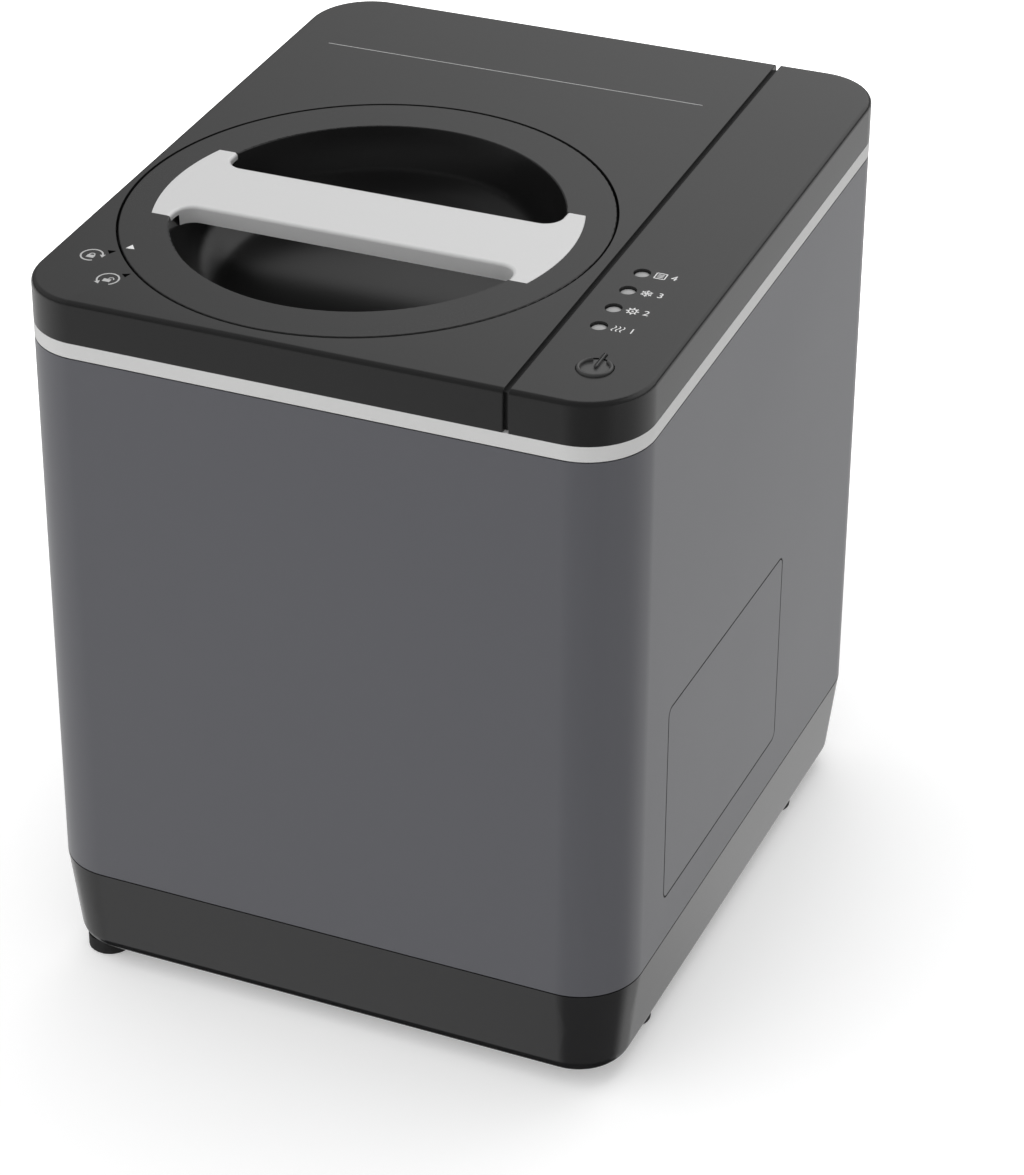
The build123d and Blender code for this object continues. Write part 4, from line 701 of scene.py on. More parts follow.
@dataclass(frozen=True)
class BoardLacquer(Finish):
    """Circuit board: green lacquer with lighter tracks and tinned dots."""

    colour: Colour = (0.012, 0.09, 0.03)
    track_colour: Colour = (0.03, 0.16, 0.06)
    dot_colour: Colour = (0.5, 0.48, 0.42)
    track_scales: tuple[float, float] = (260.0, 420.0)
    track_levels: tuple[float, float] = (0.5, 0.45)
    track_edge: float = 0.01
    dot_scale: float = 330.0
    dot_radius: float = 0.16
    roughness: float = 0.3
    dot_gloss: float = -0.05
    relief: float = 0.03 * MM

    def paint(self, sheet: NodeSheet) -> None:
        """Write the nodes: stepped noise for tracks, cells for solder dots.

        Args:
            sheet: The sheet that the nodes go on.
        """
        place = sheet.place()
        wide, narrow = (
            sheet.noise(place, scale, 0.0).ramp(level, level + self.track_edge)
            for scale, level in zip(self.track_scales, self.track_levels)
        )
        tracks = wide * narrow
        inputs = {"Vector": place, "Scale": self.dot_scale}
        cells = sheet.value("ShaderNodeTexVoronoi", {"feature": "F1"}, inputs, "Distance")
        dots = cells < self.dot_radius
        lacquer = sheet.blend(tracks, self.colour, self.track_colour)
        sheet.surface({
            "Base Color": sheet.blend(dots, lacquer, self.dot_colour),
            "Roughness": dots * self.dot_gloss + self.roughness,
            "Normal": sheet.bump(tracks + dots, self.relief),
        })


@dataclass(frozen=True)
class CarbonMesh(Finish):
    """Filter cartridge: a moulded cage whose openings show granules of carbon."""

    colour: Colour = (0.16, 0.16, 0.165)
    granule: Colour = (0.012, 0.012, 0.012)
    pitch: float = 4.0 * MM
    bar_edge: Ramp = (0.16, 0.24)
    depth: float = 0.25 * MM
    granule_scale: float = 900.0
    granule_edge: Ramp = (0.4, 0.7)
    granule_tone: float = 3.0
    roughness: float = 0.45
    granule_rough: float = 0.3

    def paint(self, sheet: NodeSheet) -> None:
        """Write the nodes: a lattice of square openings with granules behind it.

        Args:
            sheet: The sheet that the nodes go on.
        """
        place = sheet.place()
        turns = 2 * math.pi / self.pitch
        x, y, z = ((part * turns).sine().absolute() for part in sheet.parts(place))
        opening = x.minimum(y).minimum(z).ramp(*self.bar_edge)
        grains = sheet.noise(place, self.granule_scale)
        lit = shade(self.granule, self.granule_tone)
        dark = sheet.blend(grains.ramp(*self.granule_edge), self.granule, lit)
        sheet.surface({
            "Base Color": sheet.blend(opening, self.colour, dark),
            "Roughness": opening * self.granule_rough + self.roughness,
            "Normal": sheet.bump(opening * (grains * 0.5 - 1.0), self.depth),
        })


@dataclass(frozen=True)
class FrostedLens(Finish):
    """Milky lens of an unlit indicator."""

    colour: Colour = (0.34, 0.34, 0.34)
    roughness: float = 0.3
    coat: float = 0.4
    cloud_scale: float = 700.0
    cloud_tone: float = 0.15
    cloud_gloss: float = 0.1

    def paint(self, sheet: NodeSheet) -> None:
        """Write the nodes: slightly cloudy, glossy over a soft body.

        Args:
            sheet: The sheet that the nodes go on.
        """
        cloud = sheet.noise(sheet.place(), self.cloud_scale)
        sheet.surface({
            "Base Color": sheet.blend(cloud, shade(self.colour, 1 - self.cloud_tone), self.colour),
            "Roughness": (cloud - 0.5) * self.cloud_gloss + self.roughness,
            "Coat Weight": self.coat,
        })


@dataclass(frozen=True)
class PrintInk(Finish):
    """Screen-printed ink: thin, matt, a little uneven at its edges."""

    colour: Colour
    roughness: float = 0.5
    specular: float = 0.4
    mottle_scale: float = 2400.0
    mottle_tone: float = 0.2
    mottle_gloss: float = 0.1

    def paint(self, sheet: NodeSheet) -> None:
        """Write the nodes: fine mottle.

        Args:
            sheet: The sheet that the nodes go on.
        """
        mottle = sheet.noise(sheet.place(), self.mottle_scale)
        sheet.surface({
            "Base Color": sheet.blend(mottle, shade(self.colour, 1 - self.mottle_tone), self.colour),
            "Specular IOR Level": self.specular,
            "Roughness": (mottle - 0.5) * self.mottle_gloss + self.roughness,
        })


class Paint(Enum):
    """Every finish of the machine."""

    SKIRT = Moulded("skirt_plastic", (0.014, 0.014, 0.0145), 0.14)
    BODY = ShellPlastic("body_plastic", (0.097, 0.098, 0.109), 0.3, tone=0.02)
    COVER = Moulded("cover_plastic", (0.015, 0.015, 0.015), 0.23)
    LID = DishPlastic("lid_plastic", (0.016, 0.016, 0.016), 0.26)
    BUTTON = Moulded("button_plastic", (0.05, 0.05, 0.05), 0.24)
    BLACK = Moulded("black_plastic", (0.012, 0.012, 0.012), 0.5)
    FAN = Moulded("fan_plastic", (0.05, 0.05, 0.052), 0.42)
    SILVER = SilverPaint("silver_trim_paint", (0.62, 0.62, 0.615), metallic=0.1)
    HANDLE = SilverPaint("silver_handle_paint", (0.66, 0.66, 0.66), roughness=0.42)
    RUBBER = SoftRubber("foot_rubber", (0.014, 0.014, 0.014))
    SILICONE = SoftRubber("seal_silicone", (0.02, 0.02, 0.021), 0.6)
    STEEL = BareMetal("bright_steel", (0.56, 0.56, 0.57), 0.26)
    ZINC = BareMetal("zinc_plate", (0.5, 0.51, 0.53), 0.4, Lay.BRUSHED)
    ALUMINIUM = TurnedMetal("spun_aluminium", (0.72, 0.72, 0.73), 0.3)
    CASTING = BareMetal("cast_alloy", (0.45, 0.45, 0.46), 0.5, Lay.CAST, 900.0, grain_depth=0.06 * MM)
    GEAR = TurnedMetal("oiled_gear_steel", (0.3, 0.3, 0.31), 0.28)
    BRASS = TurnedMetal("turned_brass", (0.62, 0.46, 0.2), 0.28)
    POT = Coating("pot_coating", (0.035, 0.035, 0.036), (0.16, 0.16, 0.16))
    BOARD = BoardLacquer("board_lacquer")
    CARTRIDGE = CarbonMesh("filter_cage")
    LENS = FrostedLens("indicator_lens")
    PALE_INK = PrintInk("pale_ink", (0.5, 0.5, 0.5))
    WHITE_INK = PrintInk("white_ink", (0.8, 0.8, 0.8))
    BLACK_INK = PrintInk("black_ink", (0.002, 0.002, 0.002), 0.6, 0.0)


SLOT_PAINT: dict[str, Paint] = {
    "skirt": Paint.SKIRT,
    "rubber": Paint.RUBBER,
    "steel": Paint.STEEL,
    "zinc_plate": Paint.ZINC,
    "shell_grey": Paint.BODY,
    "silver_trim": Paint.SILVER,
    "cover_dark": Paint.COVER,
    "lid_dark": Paint.LID,
    "silver_handle": Paint.HANDLE,
    "lens_grey": Paint.LENS,
    "circuit_board": Paint.BOARD,
    "black_plastic": Paint.BLACK,
    "button_dark": Paint.BUTTON,
    "bare_aluminium": Paint.ALUMINIUM,
    "silicone": Paint.SILICONE,
    "cast_housing": Paint.CASTING,
    "brass": Paint.BRASS,
    "fan_grey": Paint.FAN,
    "coated_pot": Paint.POT,
    "gear_steel": Paint.GEAR,
    "filter_cartridge": Paint.CARTRIDGE,
}


# ---------------------------------------------------------------- mesh helpers


class Form:
    """A mesh in the making."""

    merge_distance = 1e-6
    sliver = 1e-7
    sharp = 35.0

    def __init__(self, mesh: bpy.types.Mesh | None = None) -> None:
        """Start empty, or from a mesh.

        Args:
            mesh: The mesh that is taken in.
        """
        self.bm = bmesh.new()
        if mesh is not None:
            self.bm.from_mesh(mesh)

    def disc(self, radius: float, sides: int) -> None:
        """Add a flat disc round the origin."""
        bmesh.ops.create_circle(self.bm, cap_ends=True, radius=radius, segments=sides)

    def polygon(self, points: Iterable[Point2 | Vector]) -> None:
        """Add a flat face through corners given anticlockwise."""
        self.bm.faces.new([self.bm.verts.new((x, y, 0)) for x, y in points])

    def box(self, low: Point2, high: Point2) -> None:
        """Add a flat rectangle between its lower left and upper right corners."""
        self.polygon([low, (high[0], low[1]), high, (low[0], high[1])])

    def bar(self, start: Point2 | Vector, end: Point2 | Vector, thick: float) -> None:
        """Add a flat bar between two points.

        Args:
            start: Middle of one end.
            end: Middle of the other end.
            thick: Its width.
        """
        one, two = Vector(start), Vector(end)
        along = (two - one).normalized()
        aside = Vector((-along.y, along.x)) * thick / 2
        self.polygon([one - aside, two - aside, two + aside, one + aside])

    def arc_band(self, radius: float, thick: float, start: float, sweep: float,
                 middle: Point2 = (0, 0), steps: int = 40) -> None:
        """Add a flat band along an arc.

        Args:
            radius: Radius of its middle line.
            thick: Its width.
            start: Where it starts, in degrees.
            sweep: How far it goes, in degrees.
            middle: The arc's centre.
            steps: How many faces it has.
        """
        turn = Matrix.Rotation(math.radians(start), 4, "Z")
        centre = Vector((*middle, 0))
        radii = (radius - thick / 2, radius + thick / 2)
        ends = [self.bm.verts.new(centre + turn @ Vector((reach, 0, 0))) for reach in radii]
        edge = self.bm.edges.new(ends)
        bmesh.ops.spin(self.bm, geom=[edge, *ends], cent=centre, axis=(0, 0, 1),
                       angle=math.radians(sweep), steps=steps, use_merge=abs(sweep) >= 360)

    def thicken(self, depth: float) -> None:
        """Give every flat face a thickness upwards.

        Args:
            depth: The thickness.
        """
        made = bmesh.ops.extrude_face_region(self.bm, geom=self.bm.faces[:])
        risen = [part for part in made["geom"] if isinstance(part, bmesh.types.BMVert)]
        bmesh.ops.translate(self.bm, verts=risen, vec=(0, 0, depth))

    def turned(self, profile: Sequence[Point2], steps: int = 64, sweep: float = 360.0,
               start: float = 0.0) -> None:
        """Spin a profile round the Z axis.

        Args:
            profile: Points of radius and height, from one end to the other.
            steps: How many faces go round.
            sweep: How far it goes round, in degrees.
            start: Where it starts, in degrees.
        """
        turn = Matrix.Rotation(math.radians(start), 4, "Z")
        corners = [self.bm.verts.new(turn @ Vector((radius, 0, z))) for radius, z in profile]
        edges = [self.bm.edges.new(pair) for pair in zip(corners, corners[1:])]
        bmesh.ops.spin(self.bm, geom=[*corners, *edges], cent=(0, 0, 0), axis=(0, 0, 1),
                       angle=math.radians(sweep), steps=steps, use_merge=sweep >= 360)

    def close(self) -> None:
        """Merge what coincides and turn every face outwards."""
        self.merge(self.merge_distance)
        bmesh.ops.recalc_face_normals(self.bm, faces=self.bm.faces[:])

    def merge(self, distance: float) -> None:
        """Merge vertices that are this close, and drop slivers."""
        bmesh.ops.remove_doubles(self.bm, verts=self.bm.verts[:], dist=distance)
        bmesh.ops.dissolve_degenerate(self.bm, edges=self.bm.edges[:], dist=self.sliver)

    def cap(self) -> None:
        """Close every open end."""
        rim = [edge for edge in self.bm.edges if edge.is_boundary]
        bmesh.ops.holes_fill(self.bm, edges=rim, sides=0)

    def put(self, frame: Matrix) -> None:
        """Move everything made so far into a frame."""
        bmesh.ops.transform(self.bm, matrix=frame, verts=self.bm.verts[:])

    def stamp(self, other: "Form") -> None:
        """Take in another form's mesh and end that form.

        Args:
            other: The form that is taken in.
        """
        carrier = other.end("carrier")
        self.bm.from_mesh(carrier)
        bpy.data.meshes.remove(carrier)

    def mark_sharp(self, degrees: float) -> None:
        """Shade the mesh smooth between its sharp edges.

        Args:
            degrees: Edges that bend more than this are sharp.
        """
        limit = math.radians(degrees)
        for face in self.bm.faces:
            face.smooth = True
        for edge in self.bm.edges:
            edge.smooth = len(edge.link_faces) == 2 and edge.calc_face_angle(0.0) < limit

    def end(self, name: str) -> bpy.types.Mesh:
        """End the form.

        Args:
            name: The mesh's name.

        Returns:
            What was made, as a mesh.
        """
        mesh = bpy.data.meshes.new(name)
        self.bm.to_mesh(mesh)
        self.bm.free()
        return mesh


def finish_piece(form: Form, name: str, body: str, paint: Paint) -> bpy.types.Object:
    """Make a form an object that rides on a body.

    Args:
        form: The finished form, in the machine's frame.
        name: The piece's name.
        body: The body that it rides on.
        paint: Its finish.

    Returns:
        The piece.
    """
    form.close()
    form.mark_sharp(form.sharp)
    mesh = form.end(name)
    mesh.materials.append(paint.value.material())
    piece = show(name, mesh)
    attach(piece, body)
    log.info("%s rides on %s: %d faces", name, body, len(mesh.polygons))
    return piece


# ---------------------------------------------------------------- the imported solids


@dataclass
class Solids:
    """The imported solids, each shown as a smooth merged copy unless an added piece stands for it."""

    nodes: dict[str, bpy.types.Object]
    slots: dict[str, str]
    bodies: dict[str, str]
    replaced: tuple[str, ...]
    merge_distance: float = 2e-6
    sharp: float = 32.0

    def smooth_copy(self, node: str) -> bpy.types.Object:
        """Show a merged copy of a node, shaded smooth between its sharp edges and even on its flats.

        Args:
            node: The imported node.

        Returns:
            The copy, which stands for the node.
        """
        form = Form(self.nodes[node].data)
        form.merge(self.merge_distance)
        form.mark_sharp(self.sharp)
        mesh = form.end(node + "_skin")
        slot = self.slots[node]
        for face in mesh.polygons:
            face.material_index = 0
        mesh.materials.append(SLOT_PAINT[slot].value.material())
        piece = show(mesh.name, mesh)
        even = piece.modifiers.new("even_flats", "WEIGHTED_NORMAL")
        even.mode = "FACE_AREA_WITH_ANGLE"
        even.keep_sharp = True
        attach(piece, self.bodies[node])
        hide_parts(node)
        log.info("%s stands for %s", piece.name, node)
        return piece

    def dress(self) -> None:
        """Dress every node that no other piece stands for."""
        for node in self.nodes:
            if node not in self.replaced:
                self.smooth_copy(node)


# ---------------------------------------------------------------- prints on the covers


class Symbol(Enum):
    """Plain pictures printed beside the indicators, from the front to the rear."""

    HEAT = 1
    GRIND = 2
    COOL = 3
    FILTER = 4


@dataclass
class TopPrints:
    """What is printed on the covers and on the lid's ring."""

    ink_depth: float = 0.04 * MM
    rule_start: Point2 = (-118.8 * MM, 105.85 * MM)
    rule_end: Point2 = (69.1 * MM, 105.85 * MM)
    rule_thick: float = 0.42 * MM
    closed_place: Point2 = (-120.8 * MM, -120.0 * MM)
    open_place: Point2 = (-104.1 * MM, -136.3 * MM)
    ring_radius: float = 4.7 * MM
    ring_thick: float = 0.75 * MM
    ring_sweep: float = 280.0
    ring_starts: tuple[float, float] = (20.0, -60.0)
    tip_half: float = 1.3 * MM
    tip_length: float = 2.4 * MM
    lock_half: float = 1.75 * MM
    lock_high: float = 2.3 * MM
    shackle_radius: float = 1.15 * MM
    shackle_thick: float = 0.5 * MM
    shackle_rise: float = 0.35 * MM
    shackle_swing: float = 1.3 * MM
    mark_length: float = 3.4 * MM
    mark_half: float = 1.7 * MM
    mark_radius: float = 111.2 * MM
    mark_angles: tuple[float, float] = (218.9, 230.4)
    lid_mark_half: float = 2.1 * MM
    lid_mark_radius: float = 103.6 * MM
    lid_mark_angle: float = 218.2
    lamp_x: float = 101.6 * MM
    lamp_ys: tuple[float, ...] = (-98.8 * MM, -82.93 * MM, -67.03 * MM, -51.13 * MM)
    symbol_gap: float = 8.3 * MM
    symbol_size: float = 2.3 * MM
    number_gap: float = 4.6 * MM
    number_size: float = 5.6 * MM
    line: float = 0.5 * MM

    def place(self, form: Form, x: float, y: float) -> Form:
        """Give a flat form its ink thickness and put it on the sloping top.

        Args:
            form: The flat form.
            x: Place across the machine.
            y: Place along the machine.

        Returns:
            The same form.
        """
        form.thicken(self.ink_depth)
        form.put(MACHINE.on_top(x, y))
        return form

    def rule(self) -> bpy.types.Object:
        """Print the thin rule across the rear of the cover.

        Returns:
            The piece.
        """
        form = Form()
        middle = (Vector(self.rule_start) + Vector(self.rule_end)) / 2
        half = (self.rule_end[0] - self.rule_start[0]) / 2
        form.bar((-half, 0), (half, 0), self.rule_thick)
        self.place(form, *middle)
        return finish_piece(form, "cover_rule_print", "frame", Paint.PALE_INK)

    def padlock(self, form: Form, lifted: float) -> None:
        """Draw a small padlock.

        Args:
            form: The form that it is added to.
            lifted: How far its shackle is swung aside.
        """
        reach, thick, rise = self.shackle_radius, self.shackle_thick, self.shackle_rise
        form.box((-self.lock_half, -self.lock_high), (self.lock_half, 0))
        form.arc_band(reach, thick, 0, 180, (lifted, rise), 12)
        form.bar((lifted + reach, 0), (lifted + reach, rise), thick)
        if not lifted:
            form.bar((-reach, 0), (-reach, rise), thick)

    def lock_sign(self, name: str, place: Point2, clockwise: bool) -> bpy.types.Object:
        """Print a padlock in a round arrow.

        Args:
            name: The piece's name.
            place: Its middle on the machine.
            clockwise: Which way the arrow turns: this way locks.

        Returns:
            The piece.
        """
        form = Form()
        start = self.ring_starts[0 if clockwise else 1]
        form.arc_band(self.ring_radius, self.ring_thick, start, self.ring_sweep, steps=48)
        out = ray(start if clockwise else start + self.ring_sweep)
        ahead = Vector((out.y, -out.x)) * (1 if clockwise else -1)
        tip, half = out * self.ring_radius, out * self.tip_half
        form.polygon([tip - half, tip + half, tip + ahead * self.tip_length])
        self.padlock(form, 0.0 if clockwise else self.shackle_swing)
        self.place(form, *place)
        return finish_piece(form, name, "frame", Paint.PALE_INK)

    def pointer(self, half_base: float, radius: float, angle: float, outward: bool) -> Form:
        """Make a small triangle that points to the lid's seam.

        Args:
            half_base: Half the width of its base.
            radius: Its middle's distance from the lid's axis.
            angle: Its place round the lid, in degrees.
            outward: Whether it points away from the axis.

        Returns:
            The form, in place.
        """
        form = Form()
        toward = self.mark_length / 2 if outward else -self.mark_length / 2
        form.polygon([(toward, 0), (-toward, half_base), (-toward, -half_base)])
        form.thicken(self.ink_depth)
        turn = Matrix.Rotation(math.radians(angle), 4, "Z")
        form.put(MACHINE.lid_frame() @ turn @ Matrix.Translation((radius, 0, 0)))
        return form

    def pointers(self) -> list[bpy.types.Object]:
        """Print the two dark marks on the cover and the pale one on the lid.

        Returns:
            The two pieces.
        """
        dark = Form()
        for angle in self.mark_angles:
            dark.stamp(self.pointer(self.mark_half, self.mark_radius, angle, False))
        pale = self.pointer(self.lid_mark_half, self.lid_mark_radius, self.lid_mark_angle, True)
        return [
            finish_piece(dark, "lock_marks_print", "frame", Paint.BLACK_INK),
            finish_piece(pale, "lid_mark_print", "lid", Paint.WHITE_INK),
        ]

    def draw(self, symbol: Symbol, form: Form) -> None:
        """Draw one of the indicator symbols round the origin.

        Args:
            symbol: Which one.
            form: The form that it is added to.
        """
        size, line = self.symbol_size, self.line
        if symbol is Symbol.FILTER:
            for end in (-1, 1):
                form.bar((-size, end * size), (size, end * size), line)
                form.bar((end * size, -size), (end * size, size), line)
            for step in (-0.45, 0.0, 0.45):
                form.bar((-size * 0.6, step * size), (size * 0.6, step * size), line * 0.8)
        elif symbol is Symbol.COOL:
            for spoke in range(3):
                reach = ray(90 + 60 * spoke) * size * 1.15
                form.bar(-reach, reach, line)
                for end in (-1, 1):
                    knot = reach * 0.55 * end
                    for lean in (-55, 55):
                        branch = reach.normalized() * end * size * 0.42
                        branch.rotate(Matrix.Rotation(math.radians(lean), 2))
                        form.bar(knot, knot + branch, line * 0.7)
        elif symbol is Symbol.GRIND:
            form.arc_band(size * 0.72, line, 0, 360, steps=28)
            for tooth in range(8):
                out = ray(45 * tooth) * size
                form.bar(out * 0.78, out * 1.22, line * 1.3)
            form.disc(size * 0.22, 16)
        else:
            for column in (-0.8, 0.0, 0.8):
                middle = column * size
                form.arc_band(size * 0.42, line * 0.9, -70, 140, (middle - size * 0.15, size * 0.5), 8)
                form.arc_band(size * 0.42, line * 0.9, 110, 140, (middle + size * 0.15, -size * 0.5), 8)

    def digit(self, number: int) -> Form:
        """Make a flat digit.

        Args:
            number: Which one.

        Returns:
            The form, its left end at the origin.
        """
        text = bpy.data.curves.new(f"stage_{number}", "FONT")
        text.body = str(number)
        text.size = self.number_size
        text.fill_mode = "FRONT"
        text.align_y = "CENTER"
        holder = show(text.name, text)
        evaluated = holder.evaluated_get(bpy.context.evaluated_depsgraph_get())
        flat = bpy.data.meshes.new_from_object(evaluated)
        form = Form(flat)
        bpy.data.objects.remove(holder)
        bpy.data.curves.remove(text)
        bpy.data.meshes.remove(flat)
        return form

    def status_signs(self) -> bpy.types.Object:
        """Print a symbol and a stage number beside each indicator.

        Returns:
            The piece.
        """
        signs = Form()
        symbol_x = self.lamp_x + self.symbol_gap
        for symbol, y in zip(Symbol, self.lamp_ys):
            sign = Form()
            self.draw(symbol, sign)
            signs.stamp(self.place(sign, symbol_x, y))
            signs.stamp(self.place(self.digit(symbol.value), symbol_x + self.number_gap, y))
        return finish_piece(signs, "status_print", "frame", Paint.WHITE_INK)

    def build(self) -> None:
        """Print everything."""
        self.rule()
        self.lock_sign("locked_sign_print", self.closed_place, True)
        self.lock_sign("unlocked_sign_print", self.open_place, False)
        self.pointers()
        self.status_signs()


# ---------------------------------------------------------------- control strip


@dataclass
class Indicators:
    """The four lenses, sunk a little below the control strip."""

    x: float = 101.6 * MM
    ys: tuple[float, ...] = (-98.8 * MM, -82.9 * MM, -67.0 * MM, -51.1 * MM)
    radius: float = 3.4 * MM
    sink: float = 1.5 * MM
    crown: float = 0.6 * MM
    length: float = 8.0 * MM
    flange: float = 4.7 * MM
    flange_low: float = 3.7 * MM
    flange_high: float = 2.6 * MM

    def build(self) -> bpy.types.Object:
        """Make the lenses: crowned faces over plain light guides.

        Returns:
            The piece.
        """
        steps = 6
        turns = [math.radians(90 * step / steps) for step in range(steps + 1)]
        dome = [(self.radius * math.sin(turn), self.crown * math.cos(turn) - self.sink) for turn in turns]
        guide = [
            (self.radius, -self.flange_high), (self.flange, -self.flange_high),
            (self.flange, -self.flange_low), (self.radius, -self.flange_low),
            (self.radius, -self.length), (0.0, -self.length),
        ]
        lenses = Form()
        for y in self.ys:
            lens = Form()
            lens.turned(dome + guide, steps=40)
            lens.put(MACHINE.on_top(self.x, y))
            lenses.stamp(lens)
        piece = finish_piece(lenses, "indicator_lens_row", "frame", Paint.LENS)
        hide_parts("indicator_lenses")
        return piece


@dataclass
class PowerKey:
    """The power button: a sunk plate with a raised broken ring and a bar."""

    x: float = 112.9 * MM
    y: float = -131.0 * MM
    plate_radius: float = 7.6 * MM
    plate_low: float = 4.5 * MM
    plate_high: float = 0.4 * MM
    plate_edge: float = 0.3 * MM
    ring_radius: float = 6.75 * MM
    rib: float = 0.85 * MM
    rib_top: float = 1.05 * MM
    rib_sunk: float = 0.2 * MM
    gap: float = 56.0
    bar_reach: float = 11.6 * MM
    stem_radius: float = 2.5 * MM
    stem_end: float = 9.5 * MM

    def rib_profile(self) -> list[Point2]:
        """Half-round top of a rib over straight sides.

        Returns:
            Points of offset from its middle line, and height.
        """
        turns = [math.radians(angle) for angle in range(0, 181, 20)]
        centre = self.rib_top - self.rib
        crown = [(self.rib * math.cos(turn), centre + self.rib * math.sin(turn)) for turn in turns]
        foot = -self.plate_high - self.rib_sunk
        return [(self.rib, foot), *crown, (-self.rib, foot)]

    def ring(self) -> Form:
        """The broken ring.

        Returns:
            The form, round the button's axis.
        """
        form = Form()
        profile = [(self.ring_radius + offset, z) for offset, z in self.rib_profile()]
        form.turned(profile + profile[:1], steps=72, sweep=360 - self.gap, start=90 + self.gap / 2)
        form.close()
        form.cap()
        return form

    def drawn_out(self, profile: Sequence[Point2]) -> Form:
        """Turn a profile as wide as a rib, and draw it out to the bar's length.

        Args:
            profile: Points of radius and height.

        Returns:
            The form, from the button's axis to the bar's far end.
        """
        form = Form()
        form.turned(profile, steps=24)
        form.close()
        far = [vert for vert in form.bm.verts if vert.co.y > form.merge_distance]
        bmesh.ops.translate(form.bm, verts=far, vec=(0, self.bar_reach - 2 * self.rib, 0))
        form.put(Matrix.Translation((0, self.rib, 0)))
        return form

    def bar(self) -> Form:
        """The bar, round at both ends."""
        return self.drawn_out([(offset, z) for offset, z in self.rib_profile() if offset >= -1e-9])

    def plate(self) -> Form:
        """The sunk plate, its bar-shaped tongue and the stem below.

        Returns:
            The form, round the button's axis.
        """
        high, low = -self.plate_high, -self.plate_low
        form = Form()
        form.turned([
            (0.0, high), (self.plate_radius - self.plate_edge, high),
            (self.plate_radius, high - self.plate_edge), (self.plate_radius, low),
            (self.stem_radius, low), (self.stem_radius, -self.stem_end), (0.0, -self.stem_end),
        ], steps=64)
        form.stamp(self.drawn_out([(0.0, high), (self.rib, high), (self.rib, low), (0.0, low)]))
        return form

    def build(self) -> bpy.types.Object:
        """Make the button.

        Returns:
            The piece.
        """
        key = Form()
        for part in (self.plate(), self.ring(), self.bar()):
            key.stamp(part)
        key.put(MACHINE.on_top(self.x, self.y))
        piece = finish_piece(key, "power_key", "button", Paint.BUTTON)
        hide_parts("power_button")
        return piece


# ---------------------------------------------------------------- the studio


@dataclass(frozen=True)
class FloorFinish(Finish):
    """Pale floor: takes the shadow near the machine, and is plain white away from it."""

    colour: Colour = (0.9, 0.9, 0.9)
    near: float = 0.3
    far: float = 0.8
    least: float = 0.28

    def paint(self, sheet: NodeSheet) -> None:
        """Write the nodes: a shadow near the machine, white far from it to the camera's rays.

        Args:
            sheet: The sheet that the nodes go on.
        """
        x, y, _ = sheet.parts(sheet.place())
        away = (x * x + y * y).root().ramp(self.near, self.far, self.least, 1.0)
        seen = Value(sheet, sheet.node("ShaderNodeLightPath").outputs["Is Camera Ray"])
        matt = sheet.node("ShaderNodeBsdfDiffuse", inputs={"Color": (*self.colour, 1.0)})
        white = sheet.node("ShaderNodeEmission", inputs={"Color": (1.0, 1.0, 1.0, 1.0), "Strength": 1.0})
        lit = sheet.node("ShaderNodeAddShader", inputs={0: matt.outputs[0], 1: white.outputs[0]})
        inputs = {0: away * seen, 1: matt.outputs[0], 2: lit.outputs[0]}
        mixed = sheet.node("ShaderNodeMixShader", inputs=inputs)
        sheet.node("ShaderNodeOutputMaterial", inputs={"Surface": mixed.outputs[0]})


